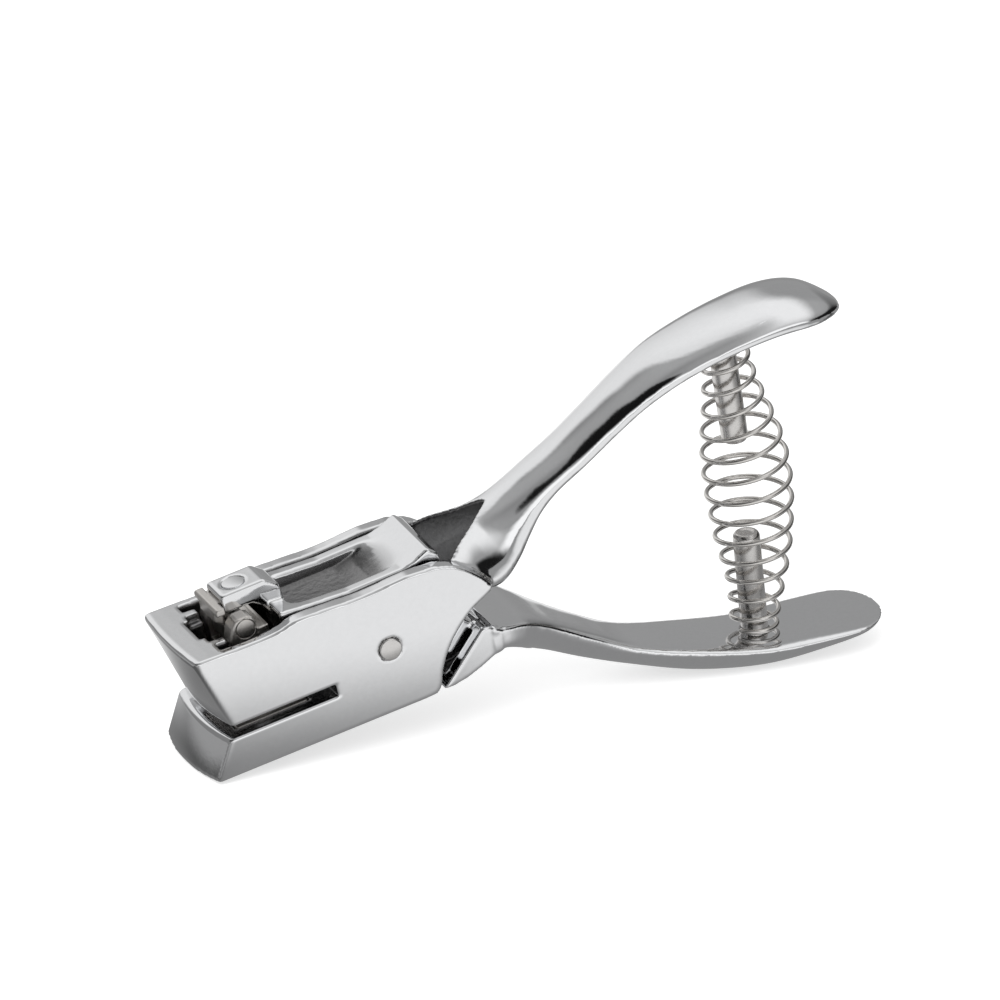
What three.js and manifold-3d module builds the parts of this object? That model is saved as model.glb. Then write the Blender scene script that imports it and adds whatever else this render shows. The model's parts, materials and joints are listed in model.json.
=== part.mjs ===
// One-hand slot punch plier: chrome-plated frame and lever, steel punch with its cross pin and die, a spring.
// Lengths are in millimetres. While it is drawn, X runs back along the throat, Y away from the viewer, Z up.
// A point written [x, z] lies in the middle plane. A section written [x, z, half width] spans both sides.
import * as THREE from "three";
import { ParametricGeometry } from "three/addons/geometries/ParametricGeometry.js";
import { mergeVertices } from "three/addons/utils/BufferGeometryUtils.js";
import Module from "manifold-3d";

const wasm = await Module();
wasm.setup();

// Driving sizes
const bodyWidth = 30;
const wallThickness = 3.7;
const topHeight = 29.8;
const throatBottom = 9;
const throatHeight = 2.75;
const throatEnd = 31.2;
const pivotPoint = [45.2, 15];
const pivotDiameter = 5;
const pivotProud = 0.65;
const runningClearance = 0.08;
const looseClearance = 0.3;
const dieClearance = 0.1;
const chipClearance = 1.2;
const mergeDistance = 0.0001;
const far = 200;

const halfBody = bodyWidth / 2;
const cavityHalf = halfBody - wallThickness;
const throatTop = throatBottom + throatHeight;
const throatCorner = 0.4;
const throatMiddle = throatBottom + throatHeight / 2;
const armHalf = cavityHalf - 2 * looseClearance;

// Frame: side plates and jaws
const frontRoom = 6;
const heelStart = 50.5;
const rearOutline = [
  [53.3, 0.35],
  [54.5, 1.7],
  [55.6, 4.8],
  [58.1, 9.3],
  [61.3, 13],
  [65.4, 16.3],
  [69, 18.1],
  [71, 19.6],
  [70.2, 21.8],
  [67.8, 24.8],
  [64.2, 27.9],
  [59.8, 29.6],
];
const plateTopEnd = 56;
const edgeSoftness = 0.5;
const upperBulge = 1.3;
const lowerBulge = 2;
const jawCornerRadius = 1.5;
const upperLean = -5.2 / 18.25;
const upperFrontAtZero = 9.6;
const lowerLean = 5.2 / 9;
const lowerFrontAtZero = 0;
const jawPlanLength = 30;

// Frame: open cavity between the side walls, with its pointed rear end
const cavityFront = 21.6;
const cavityRear = 63.8;
const cavityTip = 78.4;
const tipRadius = 1.1;
const roofFloor = 15.8;
const webEnd = 36.8;
const rearFloor = 5;
const rearFloorEnd = 58;

// Frame: guide pocket in the top of the front block
const openingHalf = 4.65;
const openingFront = 7.1;
const punchHalf = 9.1;
const guideHalf = punchHalf + looseClearance;
const tongueEnd = 11.6;
const slotHalf = 12.4;
const slotFront = 8.8;
const slotNarrows = 15;
const guideRear = 25;
const landingFront = 8.3;
const landingFloor = 26.3;

// Frame: neck and upper handle, as matching points of its underside and its crest
const upperUnder = [
  [57, 17.2, 14],
  [64, 17, 13.7],
  [70.5, 16.4, 12.8],
  [76, 16, 11],
  [81, 19, 9.4],
  [85, 23.4, 8.5],
  [88.6, 27.2, 8],
  [93.2, 30.4, 7.8],
  [101, 34, 8],
  [110, 38.7, 8.5],
  [117, 42.1, 9.2],
  [125.6, 45, 10.3],
  [134, 46.6, 11],
  [142, 47.2, 11.4],
  [150.3, 46.9, 11.4],
  [158.5, 45.6, 10.8],
  [166.6, 43.6, 8.4],
];
const upperCrest = [
  [55, 29.7],
  [62, 29.9],
  [67, 30.8],
  [71.5, 31.4],
  [75.4, 31.9],
  [79.6, 32.6],
  [84, 33.9],
  [89, 35.8],
  [97.4, 39.1],
  [106.4, 43.3],
  [113.6, 46.7],
  [123.4, 50.7],
  [133, 52.6],
  [143.3, 53.8],
  [153, 54.3],
  [161.6, 52.6],
  [168, 47.2],
];

// Lever: arm inside the frame
const armTop = [
  [24.2, 31],
  [32, 30.2],
  [40.8, 29.6],
  [54, 29.8],
  [57, 30.5],
  [60.4, 32],
  [62.3, 30.3],
  [63, 26],
  [63.1, 19],
  [63.6, 13.4],
  [66, 10.9],
  [70, 9.8],
];
const armUnder = [
  [70, 5],
  [59.5, 5.2],
  [56.5, 7.6],
  [52, 8.4],
  [49.4, 9],
];
const hubRadius = 7.2;
const armFrontUnder = [
  [38.3, 17.6],
  [34, 18.6],
  [24.2, 20.6],
];
const windowHalf = 7.25;
const windowFront = 28;
const windowRear = 56.2;
const windowRadius = 2.2;
const recessTop = 40;
const recessFloor = [
  [27, 26],
  [30.5, 25.7],
  [44, 25.7],
  [48, 26.6],
  [52, 28.8],
  [windowRear, 30.5],
];

// Lever: nose that carries the claw
const noseHalf = 4.4;
const noseTop = 37;
const noseOutline = [
  [13.9, 33],
  [13.9, 36.5],
  [14.4, noseTop],
  [24.6, noseTop],
  [27.4, 34.8],
  [29.4, 30.6],
  [29.4, 22],
  [23.9, 21],
  [23.7, 28],
  [22.7, 31],
  [20.7, 32.6],
  [15, 32.6],
];

// Lever: full-width rear body and lower handle, as matching points of its underside and its top
const rearBody = [
  [54.8, 0.5],
  [66.6, 11.1],
  [71.3, 9.7],
  [72.5, 8],
  [71.8, 4.4],
  [67.9, 3.7],
  [64.3, 2.2],
  [60.7, 1],
  [57.3, 0.4],
];
const lowerUnder = [
  [68, 3.8, 15],
  [71.2, 3.6, 14.6],
  [74.6, 0.3, 12.4],
  [78, -3.4, 9.9],
  [82, -6.2, 8.2],
  [89.6, -11.5, 7.7],
  [99, -17, 8.1],
  [113.4, -24.3, 9.8],
  [128.5, -28.9, 11],
  [141.3, -29.9, 11.7],
  [151, -29.8, 11.3],
  [158, -29, 8.7],
];
const lowerTop = [
  [68.6, 10.6],
  [72, 9.4],
  [76, 7.9],
  [80.6, 4.8],
  [85.7, 0.5],
  [93.6, -5.9],
  [102, -12],
  [116, -18],
  [130.3, -22.9],
  [142.5, -25.1],
  [151.4, -26.7],
  [158.3, -27.9],
];
const channelHalf = 11.4;
const channelInner = 7;
const channelOutline = [
  [55.4, 2.2],
  [60.5, 2.6],
  [66.5, 5],
  [66.8, 8.8],
  [64.6, 9.6],
  [56.5, 2.3],
];

// Claw hook, its rivet, the punch and its cross pin
const crossPinPoint = [16.4, 30];
const crossPinDiameter = 4.4;
const crossPinHalf = 9.4;
const hookHalf = 4.35;
const hookBack = 13.6;
const barHalf = 7;
const barBottom = 32.6;
const tangHalf = 3;
const tangBottom = 33.9;
const tangTop = 35.2;
const tangEnd = 22;
const hookOutline = [
  [13.1, 25.4],
  [13.1, 30.4],
  [11.4, 31.6],
  [11.4, 35.4],
  [11.9, 35.9],
  [hookBack, 35.9],
  [hookBack, tangTop],
  [tangEnd, tangTop],
  [tangEnd, tangBottom],
  [hookBack, tangBottom],
  [hookBack, 31.9],
  [13.9, 30],
  [14, 28.4],
  [14.8, 27.2],
  [18, 27.2],
  [18.6, 26.2],
  [18, 25.2],
];
const rivetPlace = 18.7;
const rivetDiameter = 3;
const rivetHeadDiameter = 5;
const rivetHeadHeight = 0.8;
const rivetProud = 0.25;
const rivetEnd = 33.1;
const punchFront = 12.2;
const punchRear = 22.1;
const punchBottom = 20.6;
const punchFloor = 23.6;
const punchShoulder = 28.1;
const stripFront = 19.1;
const stripRear = 20.9;
const stripTop = 29.1;
const wingInner = 7.3;
const lipTop = 31.2;
const earOutline = [
  [punchFront, punchBottom],
  [punchFront, punchShoulder],
  [13.3, lipTop],
  [14.4, lipTop],
  [15.4, 29.9],
  [17.5, 29.9],
  [18.7, punchShoulder],
  [punchRear, punchShoulder],
  [punchRear, punchBottom],
];
const reliefHalf = hookHalf + looseClearance;
const bladeLength = 14;
const bladeThickness = 3;
const bladeRest = 0.5;
const bladeTip = throatTop + bladeRest;

// Die plate and its screws
const dieThickness = 2.5;
const dieFront = 8.2;
const dieRear = 25.4;
const dieHalf = 10.8;
const screwDiameter = 3;
const screwHeadDiameter = 5.6;
const screwHeadHeight = 1.6;
const screwSink = 0.4;
const screwEnd = 8.3;
const screwPlaces = [11.2, 22.2];

// Spring and its posts
const postDiameter = 6;
const spigotDiameter = 4;
const spigotLength = 2.2;
const postLength = 24;
const seatPlay = 0.12;
const postRim = 0.7;
const postDish = 0.25;
const lowerPostFoot = [130.1, -23.4];
const lowerPostTip = [133.8, 0.3];
const upperPostFoot = [139.3, 48.4];
const upperPostTip = [136.7, 22.4];
const springAxis = [
  [130.3, -21.8],
  [133.8, -9.2],
  [135.6, 1.2],
  [137.1, 11.6],
  [138.1, 22.5],
  [138.9, 38.9],
  [139.3, 45.9],
];
const springRadii = [4.95, 5.35, 6.1, 7.2, 8.25, 8.8, 9.3, 9.4, 9.1, 8.3, 7.1, 6.05, 5.35, 5.05];
const wireDiameter = 1.1;
const springTurns = 14.5;
const closedPitch = 1.7;
const closedTurns = 0.95;
const springPhase = 0.586;
const stepsPerTurn = 8;
const wireSides = 5;

// Finishes
const chrome = finish(0xd9dadd, 0.12, 1);
const castSteel = finish(0x8b867f, 0.34, 1);
const groundSteel = finish(0xbfb8b0, 0.28, 1);
const springSteel = finish(0xb3aca4, 0.24, 1);

function finish(color, roughness, metalness) {
  return new THREE.MeshStandardMaterial({ color, roughness, metalness });
}

// A closed geometry as a solid, without the seams and the faces that have shrunk to a line.
function solid(geometry) {
  const bare = geometry.clone();
  bare.deleteAttribute("normal");
  bare.deleteAttribute("uv");
  const merged = mergeVertices(bare, mergeDistance);
  const corners = Array.from(merged.index.array);
  const kept = [];
  for (let i = 0; i < corners.length; i += 3) {
    const [a, b, c] = corners.slice(i, i + 3);
    if (a !== b && b !== c && c !== a) kept.push(a, b, c);
  }
  return new wasm.Manifold(
    new wasm.Mesh({
      numProp: 3,
      vertProperties: merged.attributes.position.array,
      triVerts: new Uint32Array(kept),
    }),
  );
}

function join(...solids) {
  return solids.reduce((whole, piece) => whole.add(piece));
}

function cut(base, ...tools) {
  return tools.reduce((rest, tool) => rest.subtract(tool), base);
}

function toMesh(name, shape, material) {
  const made = shape.getMesh();
  const geometry = new THREE.BufferGeometry();
  geometry.setAttribute("position", new THREE.BufferAttribute(new Float32Array(made.vertProperties), 3));
  geometry.setIndex(new THREE.BufferAttribute(new Uint32Array(made.triVerts), 1));
  const creased = geometry.toNonIndexed();
  creased.computeVertexNormals();
  const mesh = new THREE.Mesh(creased, material);
  mesh.name = name;
  return mesh;
}

function polygon(points) {
  return new THREE.Shape(points.map(([x, z]) => new THREE.Vector2(x, z)));
}

// A shape of the side view, thickened across the middle plane.
function acrossSides(shape, halfWidth, softness = 0) {
  const geometry = new THREE.ExtrudeGeometry(shape, {
    depth: 2 * (halfWidth - softness),
    curveSegments: 3,
    bevelEnabled: softness > 0,
    bevelThickness: softness,
    bevelSize: softness,
    bevelOffset: -softness,
    bevelSegments: 2,
  });
  geometry.rotateX(Math.PI / 2);
  geometry.translate(0, halfWidth - softness, 0);
  return geometry;
}

// A shape of the plan view, thickened from one height to another and leaning along X.
function upwards(shape, bottom, top, lean = 0) {
  const depth = top - bottom;
  const geometry = new THREE.ExtrudeGeometry(shape, { depth, curveSegments: 6, bevelEnabled: false });
  geometry.translate(0, 0, bottom);
  geometry.applyMatrix4(new THREE.Matrix4().makeShear(0, 0, 0, 0, lean, 0));
  return geometry;
}

function block(left, right, halfWidth, bottom, top) {
  const geometry = new THREE.BoxGeometry(right - left, 2 * halfWidth, top - bottom);
  return geometry.translate((left + right) / 2, 0, (bottom + top) / 2);
}

function roundBar(diameter, halfLength, [x, z], sides = 24) {
  return new THREE.CylinderGeometry(diameter / 2, diameter / 2, 2 * halfLength, sides).translate(x, 0, z);
}

// A plan view whose front edge bulges forward in the middle and has rounded corners.
function jawPlan(bulge) {
  const radius = (halfBody ** 2 + bulge ** 2) / (2 * bulge);
  const reach = Math.asin((halfBody - jawCornerRadius) / radius);
  const middle = radius - bulge;
  const cornerX = middle - radius * Math.cos(reach);
  const shape = new THREE.Shape();
  shape.moveTo(jawPlanLength, halfBody);
  shape.lineTo(cornerX + jawCornerRadius, halfBody);
  shape.quadraticCurveTo(cornerX, halfBody, cornerX, halfBody - jawCornerRadius);
  shape.absarc(middle, 0, radius, Math.PI - reach, Math.PI + reach, false);
  shape.quadraticCurveTo(cornerX, -halfBody, cornerX + jawCornerRadius, -halfBody);
  shape.lineTo(jawPlanLength, -halfBody);
  return shape;
}

// What lies in front of a jaw, between two heights.
function jawWaste(bottom, top, lean, frontAtZero, bulge) {
  const waste = solid(block(-jawPlanLength, jawPlanLength / 2, bodyWidth, bottom, top));
  const kept = upwards(jawPlan(bulge), bottom - bulge, top + bulge, lean).translate(frontAtZero, 0, 0);
  return waste.subtract(solid(kept));
}

// A body swept through matching points of its underside and its crest. Two powers, one above the widest line
// and one below it, set how square each half of a section is. Both ends close on a point.
function swept(under, crest, { rings, sides, widestShare, powerAbove, powerBelow, endShare }) {
  const lowCurve = new THREE.CatmullRomCurve3(under.map(([x, z, half]) => new THREE.Vector3(x, half, z)));
  const highCurve = new THREE.CatmullRomCurve3(crest.map(([x, z]) => new THREE.Vector3(x, 0, z)));
  const low = new THREE.Vector3();
  const high = new THREE.Vector3();
  const place = (around, along, target) => {
    const ring = Math.round(along * rings);
    const share = Math.min(Math.max((ring - 1) / (rings - 2), 0), 1);
    const intoEnd = Math.max((share - 1 + endShare) / endShare, 0);
    const t = share < 1 - endShare ? share : 1 - endShare + endShare * Math.sin((intoEnd * Math.PI) / 2);
    const rounding = Math.sqrt(Math.max(1 - ((t - 1 + endShare) / endShare) ** 2, 0));
    const size = ring === 0 || ring === rings ? 0 : t > 1 - endShare ? rounding : 1;
    lowCurve.getPoint(t, low);
    highCurve.getPoint(t, high);
    const angle = 2 * Math.PI * around;
    const power = Math.sin(angle) >= 0 ? powerAbove : powerBelow;
    const reach = Math.sin(angle) >= 0 ? 1 - widestShare : widestShare;
    const sideways = Math.sign(Math.cos(angle)) * Math.abs(Math.cos(angle)) ** (2 / power);
    const upward = Math.sign(Math.sin(angle)) * Math.abs(Math.sin(angle)) ** (2 / power);
    const height = widestShare + size * reach * upward;
    target.lerpVectors(low, high, height);
    target.y = low.y * size * sideways;
  };
  return new ParametricGeometry(place, sides, rings);
}

// A turned piece along the line between two points of the middle plane. Pairs give radius and distance.
function turned(profile, from, to, sides = 20) {
  const geometry = new THREE.LatheGeometry(
    profile.map(([radius, distance]) => new THREE.Vector2(radius, distance)),
    sides,
  );
  const start = new THREE.Vector3(from[0], 0, from[1]);
  const direction = new THREE.Vector3(to[0], 0, to[1]).sub(start).normalize();
  geometry.applyQuaternion(new THREE.Quaternion().setFromUnitVectors(new THREE.Vector3(0, 1, 0), direction));
  return geometry.translate(start.x, start.y, start.z);
}

// Frame

function frameSideOutline() {
  const shape = new THREE.Shape();
  shape.moveTo(-frontRoom, 0);
  shape.lineTo(heelStart, 0);
  shape.splineThru(rearOutline.map(([x, z]) => new THREE.Vector2(x, z)));
  shape.lineTo(plateTopEnd, topHeight);
  shape.lineTo(-frontRoom, topHeight);
  shape.lineTo(-frontRoom, throatTop);
  shape.lineTo(throatEnd - throatCorner, throatTop);
  shape.quadraticCurveTo(throatEnd, throatTop, throatEnd, throatTop - throatCorner);
  shape.lineTo(throatEnd, throatBottom + throatCorner);
  shape.quadraticCurveTo(throatEnd, throatBottom, throatEnd - throatCorner, throatBottom);
  shape.lineTo(-frontRoom, throatBottom);
  return shape;
}

function cavityPlan() {
  const shape = new THREE.Shape();
  shape.moveTo(cavityFront, -cavityHalf);
  shape.lineTo(cavityRear, -cavityHalf);
  shape.lineTo(cavityTip - tipRadius, -tipRadius);
  shape.quadraticCurveTo(cavityTip, 0, cavityTip - tipRadius, tipRadius);
  shape.lineTo(cavityRear, cavityHalf);
  shape.lineTo(cavityFront, cavityHalf);
  return shape;
}

function guidePlan() {
  const side = [
    [guideRear, cavityHalf],
    [slotNarrows, slotHalf],
    [slotFront, slotHalf],
    [slotFront, guideHalf],
    [tongueEnd, guideHalf],
    [tongueEnd, openingHalf],
    [openingFront, openingHalf],
  ];
  const otherSide = side.map(([x, y]) => [x, -y]).reverse();
  return polygon([...side, ...otherSide]);
}

function slotPlan(length, thickness) {
  const shape = new THREE.Shape();
  const [x] = crossPinPoint;
  const radius = thickness / 2;
  const straight = length / 2 - radius;
  shape.absarc(x, straight, radius, 0, Math.PI, false);
  shape.absarc(x, -straight, radius, Math.PI, 2 * Math.PI, false);
  return shape;
}

const upperSweep = {
  rings: 46,
  sides: 20,
  widestShare: 0.3,
  powerAbove: 2.2,
  powerBelow: 4,
  endShare: 0.12,
};
const lowerSweep = {
  rings: 40,
  sides: 20,
  widestShare: 0.78,
  powerAbove: 6,
  powerBelow: 2.3,
  endShare: 0.12,
};

function postSeat(foot, tip) {
  const radius = postDiameter / 2 + seatPlay;
  const spigot = spigotDiameter / 2 + seatPlay;
  return turned(
    [
      [0, -spigotLength - seatPlay],
      [spigot, -spigotLength - seatPlay],
      [spigot, -seatPlay],
      [radius, -seatPlay],
      [radius, postLength],
      [0, postLength],
    ],
    foot,
    tip,
  );
}

function makeFrame() {
  const plates = cut(
    solid(acrossSides(frameSideOutline(), halfBody, edgeSoftness)),
    jawWaste(throatMiddle, far, upperLean, upperFrontAtZero, upperBulge),
    jawWaste(-frontRoom, throatMiddle, lowerLean, lowerFrontAtZero, lowerBulge),
  );
  const handle = solid(swept(upperUnder, upperCrest, upperSweep));
  const deep = cut(
    solid(upwards(cavityPlan(), -frontRoom, far)),
    solid(block(-far, webEnd, halfBody, -far, roofFloor)),
    solid(block(-far, rearFloorEnd, halfBody, -far, rearFloor)),
  );
  const guide = solid(upwards(guidePlan(), roofFloor, far));
  const landing = solid(block(landingFront, slotNarrows, barHalf + looseClearance, landingFloor, far));
  const bladeHole = solid(
    upwards(slotPlan(bladeLength + looseClearance, bladeThickness + looseClearance), throatBottom, far),
  );
  const dieBottom = throatBottom - dieThickness;
  const dieSeat = solid(
    block(
      dieFront - looseClearance,
      dieRear + looseClearance,
      dieHalf + looseClearance,
      dieBottom - looseClearance,
      throatMiddle,
    ),
  );
  const chipHole = solid(
    upwards(slotPlan(bladeLength + chipClearance, bladeThickness + chipClearance), -frontRoom, throatBottom),
  );
  const screwHoles = screwPlaces.map((x) => solid(dieScrew(x, 2 * runningClearance, -frontRoom)));
  const pinBore = solid(roundBar(pivotDiameter + 2 * runningClearance, bodyWidth, pivotPoint));
  const seat = solid(postSeat(upperPostFoot, upperPostTip));
  const openings = [deep, guide, landing, bladeHole, dieSeat, chipHole, ...screwHoles, pinBore, seat];
  return cut(join(plates, handle), ...openings);
}

// Lever

function armOutline() {
  const shape = polygon([...armTop, ...armUnder]);
  const [x, z] = pivotPoint;
  shape.absarc(x, z, hubRadius, -Math.PI / 4, Math.PI, true);
  armFrontUnder.forEach(([px, pz]) => shape.lineTo(px, pz));
  return shape;
}

function windowPlan() {
  const shape = new THREE.Shape();
  shape.moveTo(windowRear, -windowHalf);
  shape.lineTo(windowRear, windowHalf);
  shape.lineTo(windowFront + windowRadius, windowHalf);
  shape.quadraticCurveTo(windowFront, windowHalf, windowFront, windowHalf - windowRadius);
  shape.lineTo(windowFront, windowRadius - windowHalf);
  shape.quadraticCurveTo(windowFront, -windowHalf, windowFront + windowRadius, -windowHalf);
  return shape;
}

function makeLever() {
  const arm = solid(acrossSides(armOutline(), armHalf));
  const nose = solid(acrossSides(polygon(noseOutline), noseHalf));
  const rear = solid(acrossSides(polygon(rearBody), halfBody, edgeSoftness));
  const handle = solid(swept(lowerUnder, lowerTop, lowerSweep));
  const aboveFloor = [...recessFloor, [windowRear, recessTop], [recessFloor[0][0], recessTop]];
  const climbing = solid(acrossSides(polygon(aboveFloor), windowHalf));
  const recess = solid(upwards(windowPlan(), 0, far)).intersect(climbing);
  const channel = cut(
    solid(acrossSides(polygon(channelOutline), channelHalf)),
    solid(acrossSides(polygon(channelOutline), channelInner)),
  );
  const tangSlot = solid(
    block(
      -far,
      tangEnd + looseClearance,
      tangHalf + looseClearance,
      tangBottom - looseClearance,
      tangTop + looseClearance,
    ),
  );
  const rivetHole = solid(hookRivet(2 * runningClearance));
  const bore = solid(roundBar(pivotDiameter + 2 * runningClearance, halfBody, pivotPoint));
  const seat = solid(postSeat(lowerPostFoot, lowerPostTip));
  return cut(join(arm, nose, rear, handle), recess, channel, tangSlot, rivetHole, bore, seat);
}

// Claw, punch and die

// The claw hook's upper bar is wider than the hook below it and than the tang behind it.
function makeHook() {
  const whole = cut(
    solid(acrossSides(polygon(hookOutline), barHalf)),
    cut(
      solid(block(-far, far, far, -far, barBottom)),
      solid(block(-far, far, hookHalf, -far, far)),
    ),
  );
  const besideTang = cut(
    solid(block(hookBack, far, halfBody, tangBottom - looseClearance, far)),
    solid(block(-far, far, tangHalf, -far, far)),
  );
  const hole = solid(roundUp(rivetDiameter + 2 * runningClearance, rivetPlace, -far, far));
  return cut(whole, besideTang, hole);
}

function roundUp(diameter, x, bottom, top) {
  const geometry = new THREE.CylinderGeometry(diameter / 2, diameter / 2, top - bottom, 20);
  return geometry.rotateX(Math.PI / 2).translate(x, 0, (top + bottom) / 2);
}

// The rivet has a shank through the tang and a flat head let into the top of the nose.
function hookRivet(grow) {
  const shank = rivetDiameter / 2 + grow / 2;
  const head = rivetHeadDiameter / 2 + grow / 2;
  const under = noseTop - rivetHeadHeight - grow;
  const top = noseTop + rivetProud + grow;
  return turned(
    [
      [0, rivetEnd - grow],
      [shank, rivetEnd - grow],
      [shank, under],
      [head, under],
      [head, top],
      [0, top],
    ],
    [rivetPlace, 0],
    [rivetPlace, far],
  );
}

// The punch has two ears that carry the cross pin in an open saddle, a strip behind it and the blade below.
function makePunch() {
  const ears = cut(
    solid(acrossSides(polygon(earOutline), punchHalf)),
    solid(block(-far, stripFront, reliefHalf, punchFloor, far)),
    solid(block(stripRear, far, wingInner, -far, far)),
  );
  const strip = solid(block(stripFront, stripRear, punchHalf, punchBottom, stripTop));
  const blade = solid(upwards(slotPlan(bladeLength, bladeThickness), bladeTip, punchBottom + looseClearance));
  const bore = solid(roundBar(crossPinDiameter + 2 * runningClearance, halfBody, crossPinPoint));
  return cut(join(ears, strip, blade), bore);
}

function makeDie() {
  const plate = solid(block(dieFront, dieRear, dieHalf, throatBottom - dieThickness, throatBottom));
  const slotShape = slotPlan(bladeLength + dieClearance, bladeThickness + dieClearance);
  const slot = solid(upwards(slotShape, -frontRoom, far));
  const holeDiameter = screwDiameter + 2 * runningClearance;
  const holeEnd = screwEnd + runningClearance;
  const holes = screwPlaces.map((x) => solid(roundUp(holeDiameter, x, -frontRoom, holeEnd)));
  return cut(plate, slot, ...holes);
}

function dieScrew(x, grow, from) {
  const shank = screwDiameter / 2 + grow / 2;
  const head = screwHeadDiameter / 2 + grow / 2;
  return turned(
    [
      [0, from],
      [head, from],
      [head, screwSink],
      [shank, screwSink + screwHeadHeight],
      [shank, screwEnd],
      [0, screwEnd],
    ],
    [x, 0],
    [x, far],
  );
}

// Spring and posts

function springPost(foot, tip) {
  const length = Math.hypot(tip[0] - foot[0], tip[1] - foot[1]);
  const radius = postDiameter / 2;
  return turned(
    [
      [0, -spigotLength],
      [spigotDiameter / 2, -spigotLength],
      [spigotDiameter / 2, 0],
      [radius, 0],
      [radius, length - postRim],
      [radius - postRim, length],
      [0, length - postDish],
    ],
    foot,
    tip,
  );
}

// The wire's middle line: a helix of changing radius and pitch round a slightly bent axis.
class BarrelHelix extends THREE.Curve {
  constructor() {
    super();
    this.axis = new THREE.CatmullRomCurve3(springAxis.map(([x, z]) => new THREE.Vector3(x, 0, z)));
    this.length = this.axis.getLength();
    this.radii = new THREE.SplineCurve(springRadii.map((radius, i) => new THREE.Vector2(i, radius)));
  }
  // The share of the axis reached at a share of the turns: even in the middle, with the end turns close.
  rise(share) {
    const turn = share * springTurns;
    const pitch = (this.length - 2 * closedPitch * closedTurns) / (springTurns - 2 * closedTurns);
    const held = Math.tanh(turn / closedTurns) + Math.tanh((turn - springTurns) / closedTurns) + 1;
    const climb = pitch * turn - (pitch - closedPitch) * closedTurns * held;
    return THREE.MathUtils.clamp(climb / this.length, 0, 1);
  }
  getPoint(share, target = new THREE.Vector3()) {
    const along = this.rise(share);
    const centre = this.axis.getPointAt(along);
    const up = this.axis.getTangentAt(along);
    const across = new THREE.Vector3(0, 1, 0);
    const aside = new THREE.Vector3().crossVectors(across, up);
    const radius = this.radii.getPoint(along).y;
    const angle = 2 * Math.PI * (springTurns * share + springPhase);
    return target
      .copy(centre)
      .addScaledVector(aside, radius * Math.cos(angle))
      .addScaledVector(across, radius * Math.sin(angle));
  }
}

function makeSpring() {
  const path = new BarrelHelix();
  const ring = [];
  for (let i = 0; i < wireSides; i++) {
    const angle = (2 * Math.PI * i) / wireSides;
    ring.push([(wireDiameter / 2) * Math.cos(angle), (wireDiameter / 2) * Math.sin(angle)]);
  }
  const steps = Math.round(springTurns * stepsPerTurn);
  console.log("spring: least gap between turns", leastGap(path, steps).toFixed(2), "mm");
  return solid(new THREE.ExtrudeGeometry(polygon(ring), { steps, bevelEnabled: false, extrudePath: path }));
}

function leastGap(path, steps) {
  const points = path.getSpacedPoints(4 * steps);
  const skip = Math.round(stepsPerTurn * 2);
  let least = far;
  points.forEach((a, i) => {
    points.slice(i + skip).forEach((b) => {
      least = Math.min(least, a.distanceTo(b));
    });
  });
  return least - wireDiameter;
}

// Assembly

const group = new THREE.Group();
group.name = "slot_punch_plier";
const tool = new THREE.Group();
group.add(tool);

const frameMesh = toMesh("frame_body", makeFrame(), chrome);
const leverMesh = toMesh("lever", makeLever(), chrome);
tool.add(frameMesh, leverMesh);
tool.add(toMesh("pivot_pin", solid(roundBar(pivotDiameter, halfBody + pivotProud, pivotPoint)), groundSteel));
tool.add(toMesh("claw_hook", makeHook(), castSteel));
tool.add(toMesh("hook_rivet", solid(hookRivet(0)), groundSteel));
tool.add(toMesh("punch", makePunch(), castSteel));
const crossPin = roundBar(crossPinDiameter, crossPinHalf, crossPinPoint);
tool.add(toMesh("punch_cross_pin", solid(crossPin), groundSteel));
tool.add(toMesh("die_plate", makeDie(), castSteel));
screwPlaces.forEach((x, i) => {
  tool.add(toMesh("die_screw_" + (i + 1), solid(dieScrew(x, 0, screwSink)), groundSteel));
});
tool.add(toMesh("lower_spring_post", solid(springPost(lowerPostFoot, lowerPostTip)), groundSteel));
tool.add(toMesh("upper_spring_post", solid(springPost(upperPostFoot, upperPostTip)), groundSteel));
tool.add(toMesh("return_spring", makeSpring(), springSteel));

// The tool stands on the front edge of its lower jaw and on the belly of the lower handle.
function stanceAngle() {
  const place = leverMesh.geometry.attributes.position;
  const foot = -lowerBulge;
  let steepest = 0;
  for (let i = 0; i < place.count; i++) {
    const reach = place.getX(i) - foot;
    steepest = Math.max(steepest, Math.atan2(-place.getZ(i), reach));
  }
  return steepest;
}

const stance = stanceAngle();
tool.rotation.y = -stance;
group.updateMatrixWorld(true);
const bounds = new THREE.Box3().setFromObject(group, true);
const middle = bounds.getCenter(new THREE.Vector3());
tool.position.set(-middle.x, -middle.y, -bounds.min.z);
group.updateMatrixWorld(true);

const rounded = (vector) => vector.toArray().map((v) => v.toFixed(3));
const pivot = tool.localToWorld(new THREE.Vector3(pivotPoint[0], 0, pivotPoint[1]));
console.log("stance", THREE.MathUtils.radToDeg(stance).toFixed(2), "degrees; pivot", rounded(pivot));
console.log("place of the drawing's origin", rounded(tool.position));
console.log("size", rounded(bounds.getSize(new THREE.Vector3())));

export default group;
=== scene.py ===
# %% [markdown]
# # A chrome slot punch plier
# The object is a one-hand punch: two chrome-plated castings that turn on one pin, a small steel punch that
# a claw pushes down through a slot, and a barrel spring between the handles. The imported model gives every
# piece its place, and this script gives the pieces their final shape and finish.

import json
import math
import bpy
import numpy as np
from mathutils import Matrix, Vector


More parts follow.
